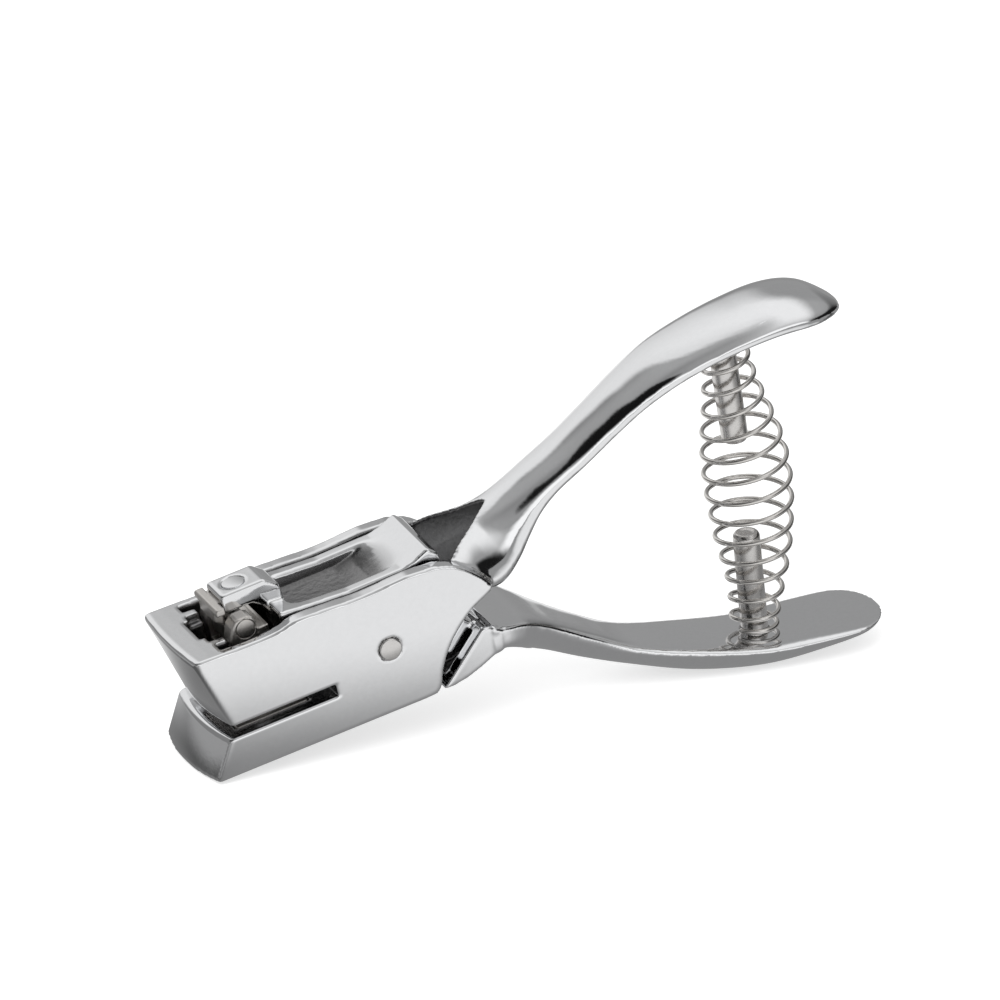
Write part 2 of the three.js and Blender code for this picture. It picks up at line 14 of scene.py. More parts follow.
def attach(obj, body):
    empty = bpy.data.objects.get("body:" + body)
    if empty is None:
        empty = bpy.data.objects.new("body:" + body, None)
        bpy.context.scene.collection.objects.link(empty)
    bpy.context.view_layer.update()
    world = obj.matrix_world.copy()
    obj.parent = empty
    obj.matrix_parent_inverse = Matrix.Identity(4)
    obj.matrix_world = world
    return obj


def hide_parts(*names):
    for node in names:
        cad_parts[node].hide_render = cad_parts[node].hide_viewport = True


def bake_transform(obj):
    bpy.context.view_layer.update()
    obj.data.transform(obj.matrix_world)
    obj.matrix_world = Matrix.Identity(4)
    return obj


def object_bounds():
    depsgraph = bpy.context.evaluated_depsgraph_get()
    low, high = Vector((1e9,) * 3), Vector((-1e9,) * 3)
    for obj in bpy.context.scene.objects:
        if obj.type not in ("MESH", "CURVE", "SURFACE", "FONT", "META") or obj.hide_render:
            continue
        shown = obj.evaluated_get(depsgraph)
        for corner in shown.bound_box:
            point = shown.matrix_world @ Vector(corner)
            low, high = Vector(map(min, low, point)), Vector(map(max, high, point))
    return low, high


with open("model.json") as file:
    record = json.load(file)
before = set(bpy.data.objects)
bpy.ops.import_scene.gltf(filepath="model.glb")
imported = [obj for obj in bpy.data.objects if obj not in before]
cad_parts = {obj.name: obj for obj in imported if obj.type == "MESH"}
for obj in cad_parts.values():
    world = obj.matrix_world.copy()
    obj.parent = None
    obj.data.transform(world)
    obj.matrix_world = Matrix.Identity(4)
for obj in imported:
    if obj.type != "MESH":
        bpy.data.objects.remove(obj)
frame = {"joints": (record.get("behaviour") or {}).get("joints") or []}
cad_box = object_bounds()
MM = 0.001

# %% [markdown]
# ## The camera
# The photograph was taken with a long lens, so lines that are parallel on the plier stay nearly parallel in
# the picture. An orthographic camera gives just that. Its three directions and its scale were fitted to the
# picture: the width of the body, the line of the throat and the pin's end fix them.

# %% Camera
VIEW_DIRECTION = Vector((0.336, 0.848, -0.410))
PICTURE_UP = Vector((0.1742, 0.3715, 0.9119))
PIXELS_PER_MM = 4.6
PICTURE_PIXELS = 1000
CENTRE_RIGHT_MM = -4.52
CENTRE_UP_MM = 43.22
CAMERA_DISTANCE = 1.5


def make_camera():
    """Looks along the view direction, with the picture's centre where it was measured from the origin."""
    back = -VIEW_DIRECTION.normalized()
    right = PICTURE_UP.cross(back).normalized()
    up = back.cross(right)
    data = bpy.data.cameras.new("camera")
    data.type = "ORTHO"
    data.ortho_scale = PICTURE_PIXELS / PIXELS_PER_MM * MM
    data.clip_end = 100
    camera = bpy.data.objects.new("camera", data)
    bpy.context.scene.collection.objects.link(camera)
    camera.rotation_mode = "QUATERNION"
    camera.rotation_quaternion = Matrix((right, up, back)).transposed().to_quaternion()
    camera.location = (right * CENTRE_RIGHT_MM + up * CENTRE_UP_MM) * MM + back * CAMERA_DISTANCE
    bpy.context.scene.camera = camera
    return camera


camera = make_camera()
print("camera at", [round(v, 3) for v in camera.location])

# %% [markdown]
# ## The drawing's own directions
# The plier stands tilted, but its shapes are easier to describe along the throat. So every shape is worked
# out in the drawing's millimetres, with X back along the throat, Y away from the viewer and Z up, and then
# turned and moved as a whole. The lever's joint tells where the pivot is, and the punch's joint tells which
# way is down.

# %% From the drawing to the model
PIVOT = (45.2, 15.0)
joints = {joint["name"]: joint for joint in frame["joints"]}
down = joints["punch_slide"]["axis"]
pivot_m = joints["lever_pivot"]["pos_m"]
sine, cosine = down[0], -down[2]


def to_model(points):
    """Turns drawing points (x, y, z) about Y by the stance and moves the pivot to its place, in metres."""
    x = points[:, 0] - PIVOT[0]
    z = points[:, 2] - PIVOT[1]
    placed = np.empty_like(points)
    placed[:, 0] = (x * cosine - z * sine) * MM + pivot_m[0]
    placed[:, 1] = points[:, 1] * MM
    placed[:, 2] = (x * sine + z * cosine) * MM + pivot_m[2]
    return placed


print("the plier stands tilted by", round(math.degrees(math.atan2(sine, cosine)), 2), "degrees")

# %% [markdown]
# ## From numbers to a mesh
# Every piece ends as a list of corners and a list of four-sided faces. Blender takes both quickest as flat
# arrays through `foreach_set`. The object itself stays at the origin, unturned and unscaled.

# %% Mesh helper
NO_TRIANGLES = np.zeros((0, 3), dtype=np.int32)


def make_piece(name, points, quads, node, body, finish, triangles=NO_TRIANGLES, rough_and_shade=None):
    """Puts drawing points and faces into a mesh object that stands for one node and rides on a body. Its
    finish is a slot and a material, and the slot is not used. Where the rough-and-shade mark is given, it
    says at each corner how rough the metal is and how much painted shade darkens it."""
    slot, material = finish
    mesh = bpy.data.meshes.new(name)
    placed = to_model(np.asarray(points, dtype=np.float64))
    corners = np.concatenate([np.ravel(quads), np.ravel(triangles)]).astype(np.int32)
    starts = np.concatenate([4 * np.arange(len(quads)), 4 * len(quads) + 3 * np.arange(len(triangles))])
    mesh.vertices.add(len(placed))
    mesh.vertices.foreach_set("co", placed.astype(np.float32).ravel())
    mesh.loops.add(corners.size)
    mesh.loops.foreach_set("vertex_index", corners)
    mesh.polygons.add(len(starts))
    mesh.polygons.foreach_set("loop_start", starts.astype(np.int32))
    mesh.update(calc_edges=True)
    mesh.validate()
    mesh.shade_smooth()
    if rough_and_shade is not None:
        # Each corner stores how rough the metal is and how much painted shade darkens its colour.
        mark = mesh.attributes.new("rough_and_painted_shade", "FLOAT", "POINT")
        mark.data.foreach_set("value", np.asarray(rough_and_shade, dtype=np.float32))
    mesh.materials.append(material)
    piece = bpy.data.objects.new(name, mesh)
    bpy.context.scene.collection.objects.link(piece)
    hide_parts(node)
    if body:
        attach(piece, body)
    print(name, "has", len(placed), "corners and", len(starts), "faces")
    return piece


# %% [markdown]
# ## Smooth lines through a few points
# Handles and springs follow lines that pass through measured points. Each stretch between two points is a
# cubic whose slope at both ends follows from the neighbours. Weighing the chords by the square root of their
# lengths keeps the line from overshooting where points lie close together.

# %% Smooth line
def smooth_line(points, shares):
    """Places at the given shares of the way along the cubics, with slopes from the weighed chords."""
    points = np.asarray(points, dtype=float)
    padded = np.vstack([2 * points[0] - points[1], points, 2 * points[-1] - points[-2]])
    place = np.clip(np.asarray(shares, dtype=float), 0, 1) * (len(points) - 1)
    piece = np.minimum(place.astype(int), len(points) - 2)
    w = (place - piece)[:, None]
    p0, p1, p2, p3 = (padded[piece + i] for i in range(4))
    chords = (p1 - p0, p2 - p1, p3 - p2)
    d0, d1, d2 = (np.sqrt(np.linalg.norm(chord, axis=1))[:, None] for chord in chords)
    t1 = ((p1 - p0) / d0 - (p2 - p0) / (d0 + d1) + (p2 - p1) / d1) * d1
    t2 = ((p2 - p1) / d1 - (p3 - p1) / (d1 + d2) + (p3 - p2) / d2) * d1
    return p1 + t1 * w + (-3 * p1 + 3 * p2 - 2 * t1 - t2) * w**2 + (2 * p1 - 2 * p2 + t1 + t2) * w**3


# %% [markdown]
# ## Castings as fields of distance
# A plated casting has soft edges and flowing joins that are hard to get from separate faces. So each
# casting is first a field: a number at every grid point that says how far it lies outside the metal, or,
# below zero, inside. Two fields join where the smaller number counts and cut where the larger counts, and a
# radius in that choice gives the edge its rounding. The surface is then laid where the field passes zero.

# %% Field helpers
def joined(a, b, radius=0.0):
    """The union of two fields, with a fillet where they meet. Its radius may vary from place to place."""
    if np.isscalar(radius) and radius == 0:
        return np.minimum(a, b)
    near = np.hypot(np.maximum(radius - a, 0), np.maximum(radius - b, 0))
    return np.maximum(radius, np.minimum(a, b)) - near


def both(a, b, radius=0.0):
    """What lies in both fields, with its edges rounded: the outside of the two outsides joined."""
    return -joined(-a, -b, radius)


def without(a, b, radius=0.0):
    """The first field with the second cut out of it, and the cut's edges rounded to that radius."""
    return both(a, -b, radius)


def rectangle(u_range, v_range):
    """The corners of a rectangle, one after the other."""
    (u0, u1), (v0, v1) = u_range, v_range
    return [(u0, v0), (u1, v0), (u1, v1), (u0, v1)]


def mirrored(side):
    """A plan from the points of one side and the same points across the middle plane."""
    return side + [(px, -py) for px, py in reversed(side)]


def outline_field(u, v, outline):
    """Signed distance to a closed outline: its size from the nearest edge, its sign from crossings."""
    corners = np.asarray(outline, dtype=float)
    nearest = np.full(np.broadcast(u, v).shape, np.inf)
    crossings = np.zeros(nearest.shape, dtype=bool)
    for (au, av), (bu, bv) in zip(corners, np.roll(corners, -1, axis=0)):
        eu, ev = bu - au, bv - av
        length = eu * eu + ev * ev
        if length == 0:
            continue
        share = np.clip(((u - au) * eu + (v - av) * ev) / length, 0, 1)
        nearest = np.minimum(nearest, (u - au - share * eu) ** 2 + (v - av - share * ev) ** 2)
        if ev != 0:
            crossings ^= ((av > v) != (bv > v)) & (u < eu * (v - av) / ev + au)
    return np.where(crossings, -1, 1) * np.sqrt(nearest)


def box_field(x, y, z, x_range, half_width, z_range, radius=0.0):
    """A block across the middle plane, between two places along X and two heights."""
    along = np.maximum(x_range[0] - x, x - x_range[1])
    high = np.maximum(z_range[0] - z, z - z_range[1])
    return both(both(along, high, radius), np.abs(y) - half_width, radius)


def bar_field(x, z, centre, radius):
    """An endless round bar across the middle plane."""
    return np.hypot(x - centre[0], z - centre[1]) - radius


# %% [markdown]
# A surface net puts one corner into each grid cell that the surface passes through, at the mean of the
# points where the cell's edges cross zero, and one face across each crossed grid edge. It is short to write
# with whole arrays and makes even four-sided faces, which suit mirror-like metal.

# %% Surface net
def surface_net(field, xs, ys, zs):
    """Corners at the mean of the crossings on each cell's twelve edges, and a face for each crossing."""
    inside = field < 0
    cells = tuple(n - 1 for n in field.shape)
    total = np.zeros(cells + (3,), dtype=np.float32)
    count = np.zeros(cells, dtype=np.float32)
    quads = []
    for axis in range(3):
        first = [slice(None)] * 3
        second = [slice(None)] * 3
        first[axis], second[axis] = slice(None, -1), slice(1, None)
        first, second = tuple(first), tuple(second)
        crossed = inside[first] != inside[second]
        spot = np.argwhere(crossed)
        start, end = field[first][crossed], field[second][crossed]
        crossing = spot.astype(np.float32)
        crossing[:, axis] += start / (start - end)
        others = [i for i in range(3) if i != axis]
        for back in np.ndindex(2, 2):
            cell = spot.copy()
            cell[:, others] -= back
            fits = np.all((cell >= 0) & (cell < cells), axis=1)
            flat = np.ravel_multi_index(cell[fits].T, cells)
            for i in range(3):
                total[..., i] += np.bincount(flat, crossing[fits, i], count.size).reshape(cells)
            count += np.bincount(flat, minlength=count.size).reshape(cells)
        inner = np.all((spot[:, others] > 0) & (spot[:, others] < np.array(cells)[others]), axis=1)
        leaves = inside[first][crossed][inner]
        quads.append(faces_across(spot[inner], others, cells, leaves if axis != 1 else ~leaves))
    used, quads = np.unique(np.concatenate(quads), return_inverse=True)
    middle = (total / np.maximum(count, 1)[..., None]).reshape(-1, 3)[used]
    lines = enumerate((xs, ys, zs))
    points = np.stack([np.interp(middle[:, i], np.arange(len(line)), line) for i, line in lines], axis=1)
    return points, quads.reshape(-1, 4)


def faces_across(edges, others, cells, outwards):
    """The four cells round each crossed grid edge, in turned order where the edge enters the metal."""
    step = np.zeros((2, 3), dtype=int)
    step[[0, 1], others] = 1
    ring = [edges, edges - step[0], edges - step[0] - step[1], edges - step[1]]
    face = np.stack([np.ravel_multi_index(corner.T, cells) for corner in ring], axis=1)
    face[~outwards] = face[~outwards][:, ::-1]
    return face


def calmed(points, quads, rounds=3):
    """Each corner moves halfway to its neighbours' mean and then a little more than that back. Ripples as
    small as the grid fade, and larger shapes keep their size."""
    ends = np.vstack([quads[:, [k, (k + 1) % 4]] for k in range(4)])
    count = np.bincount(ends[:, 0], minlength=len(points))[:, None]
    for weight in (0.5, -0.53) * rounds:
        total = [np.bincount(ends[:, 0], points[ends[:, 1], i], len(points)) for i in range(3)]
        points = points + weight * (np.stack(total, axis=1) / count - points)
    return points


def spaced(stops, steps):
    """Grid places between the stops, each stretch with its own step."""
    parts = [np.arange(a, b, step) for a, b, step in zip(stops[:-1], stops[1:], steps)]
    return np.append(np.concatenate(parts), stops[-1])


def grid(xs, ys, zs):
    """The three rows of places, shaped so that numpy spreads them over the whole grid."""
    return xs[:, None, None], ys[None, :, None], zs[None, None, :]


# %% [markdown]
# A handle is a row of sections from its underside to its crest. Each section is a superellipse, which is a
# rounded box or an oval as its power says, so the same few numbers describe the square neck and the soft
# grip.

# %% Handle
TIP_POWERS = (2.1, 2.7)
HANDLE_STEPS = 420


def along_handle(x, z, low, high):
    """Which share of the handle's way each point lies at, found where the sections' signed distances pass
    zero, and how far the point lies past the handle's two ends."""
    span = high - low
    length = np.linalg.norm(span, axis=1)
    dx, dz = x[..., None] - low[:, 0], z[..., None] - low[:, 1]
    side = (span[:, 0] * dz - span[:, 1] * dx) / length
    share = (dx * span[:, 0] + dz * span[:, 1]) / length**2
    cost = np.abs(side) + 0.5 * np.maximum(np.abs(share - 0.5) - 0.6, 0) * length
    nearest = np.clip(np.argmin(cost, axis=-1), 1, len(low) - 2)
    rows = [np.take_along_axis(side, (nearest + i)[..., None], -1)[..., 0] for i in (-1, 0, 1)]
    slope = (rows[2] - rows[0]) / 2
    steep = np.abs(slope) > 1e-6
    shift = np.where(steep, -rows[1] / np.where(steep, slope, 1), 0)
    past = np.maximum(np.abs(shift) - 1, 0) * np.abs(slope)
    return np.clip((nearest + np.clip(shift, -1, 1)) / (len(low) - 1), 0, 1), past


def handle_field(x, y, z, under, crest, widest, powers_above, powers_below, end_share):
    """A handle through matching points (x, z, half width) of its underside and (x, z) of its crest. The
    widest line lies at a share of the height. The powers go evenly from a first value to a second one,
    which is reached at the share given third. Near the tip the height shrinks like the end of an ellipse,
    and the width later."""
    flat_x, flat_z = np.broadcast_arrays(x[:, 0, :], z[:, 0, :])
    t = np.linspace(0, 1, HANDLE_STEPS)
    low, high = smooth_line([(px, half, pz) for px, pz, half in under], t), smooth_line(crest, t)
    exact, past = along_handle(flat_x, flat_z, low[:, [0, 2]], high)
    foot_x, half, foot_z = (np.interp(exact, t, low[:, i]) for i in range(3))
    sx, sz = (np.interp(exact, t, high[:, i]) - foot for i, foot in enumerate((foot_x, foot_z)))
    tall = np.hypot(sx, sz)
    share = ((flat_x - foot_x) * sx + (flat_z - foot_z) * sz) / tall**2
    into_end = np.clip((exact - 1 + end_share) / end_share, 0, 1)
    tallness, wideness = (np.maximum(1 - into_end**n, 0.0004) ** (1 / n) for n in TIP_POWERS)
    above = share > widest
    reach = np.where(above, 1 - widest, widest)
    v = np.abs(share - widest) / (reach * tallness)
    upper, lower = (np.interp(exact, [0, upto], [a, b]) for a, b, upto in (powers_above, powers_below))
    power = np.where(above, upper, lower)[:, None, :]
    u = np.abs(y) / (half * wideness)[:, None, :]
    rho = (u**power + v[:, None, :] ** power) ** (1 / power)
    scale = np.minimum(half * wideness, reach * tall * tallness)[:, None, :]
    return (rho - 1) * scale + past[:, None, :]


print("field helpers ready")

# %% [markdown]
# ## Metal finishes
# The castings carry bright chrome plate. It is not a perfect mirror: the plate follows the slightly uneven
# polished casting, so reflections swim a little, and its gloss varies. Small steel pieces are ground,
# warmer and duller. One group makes the slow unevenness and the fine grain, and each finish uses it with
# its own values.

# %% Node helpers
def feed(node, inputs):
    """Sets each named or numbered input to its value, or links it to another node's output."""
    for socket, value in inputs.items():
        if isinstance(value, bpy.types.NodeSocket):
            node.id_data.links.new(value, node.inputs[socket])
        else:
            node.inputs[socket].default_value = value


def add_node(tree, kind, inputs=None, **settings):
    """A new node with its settings and its inputs."""
    node = tree.nodes.new(kind)
    for setting, value in settings.items():
        setattr(node, setting, value)
    feed(node, inputs or {})
    return node


def calculate(tree, operation, *values):
    """What a math node makes of some values or outputs."""
    return add_node(tree, "ShaderNodeMath", dict(enumerate(values)), operation=operation).outputs["Value"]


def ranged(tree, value, from_range, to_range, smooth=False):
    """A value carried over from one range to another and held at both ends, which may be soft."""
    labels = ("Value", "From Min", "From Max", "To Min", "To Max")
    inputs = dict(zip(labels, (value, *from_range, *to_range)))
    way = "SMOOTHSTEP" if smooth else "LINEAR"
    return add_node(tree, "ShaderNodeMapRange", inputs, interpolation_type=way).outputs["Result"]


def mixed(tree, share, a, b, kind="FLOAT"):
    """The first value where the share is 0, the second where it is 1."""
    inputs = {"Factor": share, "A": a, "B": b}
    return add_node(tree, "ShaderNodeMix", inputs, data_type=kind).outputs["Result"]


def bumped(tree, height, distance, **start):
    """The normal of a surface that the height raises by up to the distance."""
    inputs = {"Strength": 1.0, "Distance": distance, "Height": height, **start}
    return add_node(tree, "ShaderNodeBump", inputs).outputs["Normal"]


def new_group(name, inputs, outputs):
    """A shader node group that takes a vector and the named numbers and gives the named outputs."""
    group = bpy.data.node_groups.new(name, "ShaderNodeTree")
    group.interface.new_socket("Vector", in_out="INPUT", socket_type="NodeSocketVector")
    for label in inputs:
        group.interface.new_socket(label, in_out="INPUT", socket_type="NodeSocketFloat")
    for label in outputs:
        group.interface.new_socket(label, in_out="OUTPUT", socket_type="NodeSocketFloat")
    return group, group.nodes.new("NodeGroupInput").outputs, group.nodes.new("NodeGroupOutput")


def new_material(name):
    """A material, its tree and its Principled shader."""
    material = bpy.data.materials.new(name)
    material.use_nodes = True
    return material, material.node_tree, material.node_tree.nodes["Principled BSDF"]


# %% Metals
FINE_IN_HEIGHT = 0.12
GRAIN_SCALES = (900, 3200)
SHADED_GRAIN = 0.78


def make_uneven():
    """Two soft noises, one over centimetres and one over a few millimetres, for height and for gloss."""
    group, start, end = new_group("uneven_polish", ("Broad Scale", "Fine Scale"), ("Height", "Gloss"))
    noises = []
    for label, detail in (("Broad Scale", 1.0), ("Fine Scale", 3.0)):
        inputs = {"Vector": start["Vector"], "Scale": start[label], "Detail": detail}
        noises.append(add_node(group, "ShaderNodeTexNoise", inputs).outputs["Fac"])
    broad, fine = noises
    height = calculate(group, "MULTIPLY_ADD", fine, FINE_IN_HEIGHT, broad)
    feed(end, {"Height": height, "Gloss": fine})
    return group


uneven_polish = make_uneven()


def uneven(tree, broad, fine):
    """The uneven polish at each place of the piece, with this finish's own scales."""
    place = add_node(tree, "ShaderNodeTexCoord").outputs["Object"]
    inputs = {"Vector": place, "Broad Scale": broad, "Fine Scale": fine}
    return add_node(tree, "ShaderNodeGroup", inputs, node_tree=uneven_polish).outputs


def metal(name, colour, dark_colour, roughness, gloss_spread, waviness, broad, fine):
    """A metal whose colour and gloss follow the fine noise, and whose surface swims with the broad one."""
    material, tree, shader = new_material(name)
    polish = uneven(tree, broad, fine)
    spread = (roughness - gloss_spread, roughness + gloss_spread)
    feed(shader, {
        "Metallic": 1.0,
        "Base Color": mixed(tree, polish["Gloss"], (*dark_colour, 1), (*colour, 1), "RGBA"),
        "Roughness": ranged(tree, polish["Gloss"], (0.3, 0.7), spread),
        "Normal": bumped(tree, polish["Height"], waviness),
    })
    return material


def rough_cast_with_painted_shade(material, colour, roughness, depth):
    """Where the mark on the mesh says so, the plate lies on rough cast metal, duller and pitted, and its
    colour is darkened as painted shade for the hollows that the mark covers.
    """
    tree = material.node_tree
    shader = tree.nodes["Principled BSDF"]
    names = ("Base Color", "Roughness", "Normal")
    polished = {name: shader.inputs[name].links[0].from_socket for name in names}
    # The mark read here carries both the rough casting and the painted shade in the hollows.
    mark = add_node(tree, "ShaderNodeAttribute", attribute_name="rough_and_painted_shade").outputs["Fac"]
    grain = uneven(tree, *GRAIN_SCALES)
    shaded = tuple(SHADED_GRAIN * part for part in colour)
    cast_and_shade_colour = mixed(tree, grain["Gloss"], (*shaded, 1), (*colour, 1), "RGBA")
    pits = calculate(tree, "MULTIPLY", mark, grain["Height"])
    feed(shader, {
        "Base Color": mixed(tree, mark, polished["Base Color"], cast_and_shade_colour, "RGBA"),
        "Roughness": mixed(tree, mark, polished["Roughness"], roughness),
        "Normal": bumped(tree, pits, depth, Normal=polished["Normal"]),
    })


chrome = metal("bright_chrome", (0.87, 0.875, 0.885), (0.82, 0.825, 0.835), 0.07, 0.015, 0.00004, 70, 900)
# This dark grey is painted shade for the hollows of the frame and lever; the roughness and pits stand for the
# rough cast metal.
rough_cast_with_painted_shade(chrome, (0.3, 0.298, 0.3), 0.3, 0.00006)
tool_steel = metal("hardened_steel", (0.8, 0.775, 0.745), (0.6, 0.578, 0.55), 0.38, 0.08, 0.00003, 200, 2500)
pin_steel = metal("ground_pin_steel", (0.78, 0.765, 0.75), (0.62, 0.605, 0.59), 0.2, 0.06, 0.00002, 200, 2600)
wire_steel = metal("spring_wire", (0.82, 0.8, 0.775), (0.66, 0.64, 0.615), 0.06, 0.02, 0.00001, 300, 1800)
CHROME_PLATE = ("chrome_plate", chrome)
DARK_STEEL = ("dark_steel", tool_steel)
GROUND_STEEL = ("ground_steel", pin_steel)
print("materials:", [m.name for m in (chrome, tool_steel, pin_steel, wire_steel)])

# %% [markdown]
# ## Sizes shared by the pieces
# These are the drawing's own sizes, in millimetres. A place is given along X and at a height.

# %% Shared sizes
HALF_BODY = 15.0
WALL = 3.7
GAP = 0.3
CAVITY_HALF = HALF_BODY - WALL
ARM_HALF = CAVITY_HALF - 3 * GAP
TOP = 29.8
THROAT_BOTTOM = 9.0
THROAT_TOP = 11.75
THROAT_END = 31.2
THROAT_MIDDLE = (THROAT_BOTTOM + THROAT_TOP) / 2
BEFORE_NOSE = -9.0
PIN_RADIUS = 2.5
PIN_PLAY = 0.08
POST_RADIUS = 3.0
SPIGOT_RADIUS = 2.0
SEAT_PLAY = 0.12
UPPER_POST = ((139.3, 48.4), (136.7, 22.4))
LOWER_POST = ((130.1, -23.4), (133.8, 0.3))
CROSS_PIN = (16.4, 30.0)
CROSS_PIN_RADIUS = 2.2
SLOT_LENGTH = 14.0
SLOT_WIDTH = 3.0
DIE_X = (8.2, 25.4)
DIE_HALF = 10.8
DIE_Z = (6.5, 9.0)
RIVET_X = 18.7
RIVET_SHANK = 1.5
RIVET_HEAD = 2.5

# %% [markdown]
# ## The frame
# The frame is one casting: two jaws split by the thin throat, two side plates, a block in front that guides
# the punch, an open cavity for the lever, and a neck that flows into the upper handle. In the picture the
# front of each jaw is a gently bulging face, and the bulge grows downwards.

# %% Lines of the frame
REAR_LINE = [
    (50.5, 0.0), (53.3, 0.35), (54.5, 1.7), (55.6, 4.8), (58.1, 9.3), (61.3, 13.0), (65.4, 16.3),
    (69.0, 18.1), (71.0, 19.6), (70.2, 21.8), (67.8, 24.8), (64.2, 27.9), (59.8, 29.6),
]
TOP_LINE = [
    (53, 30.1), (42, 29.6), (33.5, 30.1), (26, 30.3), (22.5, 29.5), (18.5, 29.2), (2, 29.7),
    (BEFORE_NOSE, 29.9),
]
UPPER_UNDER = [
    (57.0, 17.2, 14.0), (64.0, 17.0, 13.7), (70.5, 16.4, 12.8), (76.0, 16.0, 11.0), (81.0, 19.0, 9.4),
    (85.0, 23.4, 8.5), (88.6, 27.2, 8.0), (93.2, 30.4, 7.8), (101.0, 34.0, 8.0), (110.0, 38.7, 8.5),
    (117.0, 42.1, 9.2), (125.6, 45.0, 10.3), (134.0, 46.6, 11.0), (142.0, 47.2, 11.4), (150.3, 46.9, 11.4),
    (158.5, 45.7, 10.8), (166.2, 44.6, 8.8),
]
UPPER_CREST = [
    (55.0, 29.7), (62.0, 29.9), (67.0, 30.8), (71.5, 31.4), (75.4, 31.9), (79.6, 32.6), (84.0, 33.9),
    (89.0, 35.8), (97.4, 39.1), (106.4, 43.3), (113.6, 46.7), (123.4, 50.7), (133.0, 52.6), (143.3, 53.7),
    (153.0, 53.8), (161.2, 51.6), (167.4, 47.5),
]
CAVITY_SIDE = [(21.6, CAVITY_HALF), (63.8, CAVITY_HALF), (77.6, 0.9), (78.2, 0)]
WEB_END, WEB_TOP = 36.8, 15.8
FLOOR_END, FLOOR_TOP = 58.0, 5.0
GUIDE_SIDE = [
    (25, CAVITY_HALF), (15, 12.4), (8.8, 12.4), (8.8, 9.4), (11.6, 9.4), (11.6, 4.65), (7.1, 4.65),
]
LANDING_X, LANDING_HALF, LANDING_Z = (8.3, 15), 6.9, (27.8, 40)

# %% Front of the jaws
UPPER_LEAN, LOWER_LEAN = -5.2 / 18.25, 5.2 / THROAT_BOTTOM
UPPER_FRONT = 9.6
UPPER_BULGES = ([THROAT_TOP, TOP], [1.8, 0.8])
LOWER_BULGES = ([0, THROAT_BOTTOM], [2.2, 1.7])


def jaw_front(x, y, z, lean, front_at_zero, bulge):
    """In front of a leaning, bulging face. The bulge fades towards the sides with the square of Y."""
    front = front_at_zero + lean * z - bulge * (1 - (y / HALF_BODY) ** 2)
    return (front - x) / math.hypot(1, lean)


def jaws_field(x, y, z):
    """The upper jaw's face above the throat and the lower jaw's face below it."""
    upper = jaw_front(x, y, z, UPPER_LEAN, UPPER_FRONT, np.interp(z, *UPPER_BULGES))
    lower = jaw_front(x, y, z, LOWER_LEAN, 0.0, np.interp(z, *LOWER_BULGES))
    return np.where(z > THROAT_MIDDLE, upper, lower)


# %% Hollows of the frame
WEB_EDGE = 0.4
SPIGOT_MIDDLE, SPIGOT_HOLE_HALF = -1.0, 1.3
BLADE_HOLE_PLAY, CHIP_HOLE_PLAY = 0.3, 1.2


def cavity_field(x, y, z):
    """Seen from above, the open cavity has a pointed rear end. It stops short of the web and the floor."""
    space = outline_field(x, y, mirrored(CAVITY_SIDE))
    for end, top in ((WEB_END, WEB_TOP), (FLOOR_END, FLOOR_TOP)):
        kept = outline_field(x, z, rectangle((BEFORE_NOSE, end), (BEFORE_NOSE, top)))
        space = without(space, kept, WEB_EDGE)
    return space


def guide_field(x, y, z):
    """The stepped pocket that guides the punch, and the shallow landing in front of it for the claw's bar."""
    landing = box_field(x, y, z, LANDING_X, LANDING_HALF, LANDING_Z)
    return joined(both(outline_field(x, y, mirrored(GUIDE_SIDE)), WEB_TOP - z), landing)


def slot_field(x, y, play=0.0):
    """The slot seen from above, below the cross pin, with round ends. The play makes it longer and wider."""
    radius = (SLOT_WIDTH + play) / 2
    reach = (SLOT_LENGTH + play) / 2 - radius
    angle = np.linspace(0, math.pi, 12)
    far_end = [(CROSS_PIN[0] + radius * math.cos(a), reach + radius * math.sin(a)) for a in angle]
    return outline_field(x, y, mirrored(far_end))


def die_space_field(x, y, z):
    """The die plate's seat, the blade's hole through the upper jaw and the wider chip hole below."""
    seat_x = (DIE_X[0] - GAP, DIE_X[1] + GAP)
    seat = box_field(x, y, z, seat_x, DIE_HALF + GAP, (DIE_Z[0] - GAP, THROAT_MIDDLE))
    blade_hole = both(slot_field(x, y, BLADE_HOLE_PLAY), THROAT_BOTTOM - z)
    chips = both(slot_field(x, y, CHIP_HOLE_PLAY), z - THROAT_BOTTOM)
    return joined(joined(seat, blade_hole), chips)


def post_seat_field(x, y, z, post):
    """The round seat of a spring post, along its own axis, with a narrower hole for the spigot."""
    (fx, fz), (tx, tz) = post
    length = math.hypot(tx - fx, tz - fz)
    ax, az = (tx - fx) / length, (tz - fz) / length
    along = (x - fx) * ax + (z - fz) * az
    across = np.hypot((x - fx) * az - (z - fz) * ax, y)
    seat = both(across - POST_RADIUS - SEAT_PLAY, -SEAT_PLAY - along)
    hole = both(across - SPIGOT_RADIUS - SEAT_PLAY, np.abs(along - SPIGOT_MIDDLE) - SPIGOT_HOLE_HALF)
    return joined(seat, hole)


# %% Frame
BODY_EDGE, THROAT_EDGE, CAVITY_EDGE, CUT_EDGE, SEAT_EDGE = 0.55, 0.45, 0.5, 0.3, 0.2
FRONT_EDGE = ([26.5, 29], [0.75, 1.3])
NECK_FILLET = ([64, 68, 74], [0.05, 0.9, 1.8])
UPPER_SECTION = (0.3, (3.3, 2.05, 0.22), (4.0, 3.0, 0.5), 0.11)
# How strongly the throat is dulled and darkened with painted shade.
THROAT_ROUGH_AND_SHADE = 0.8


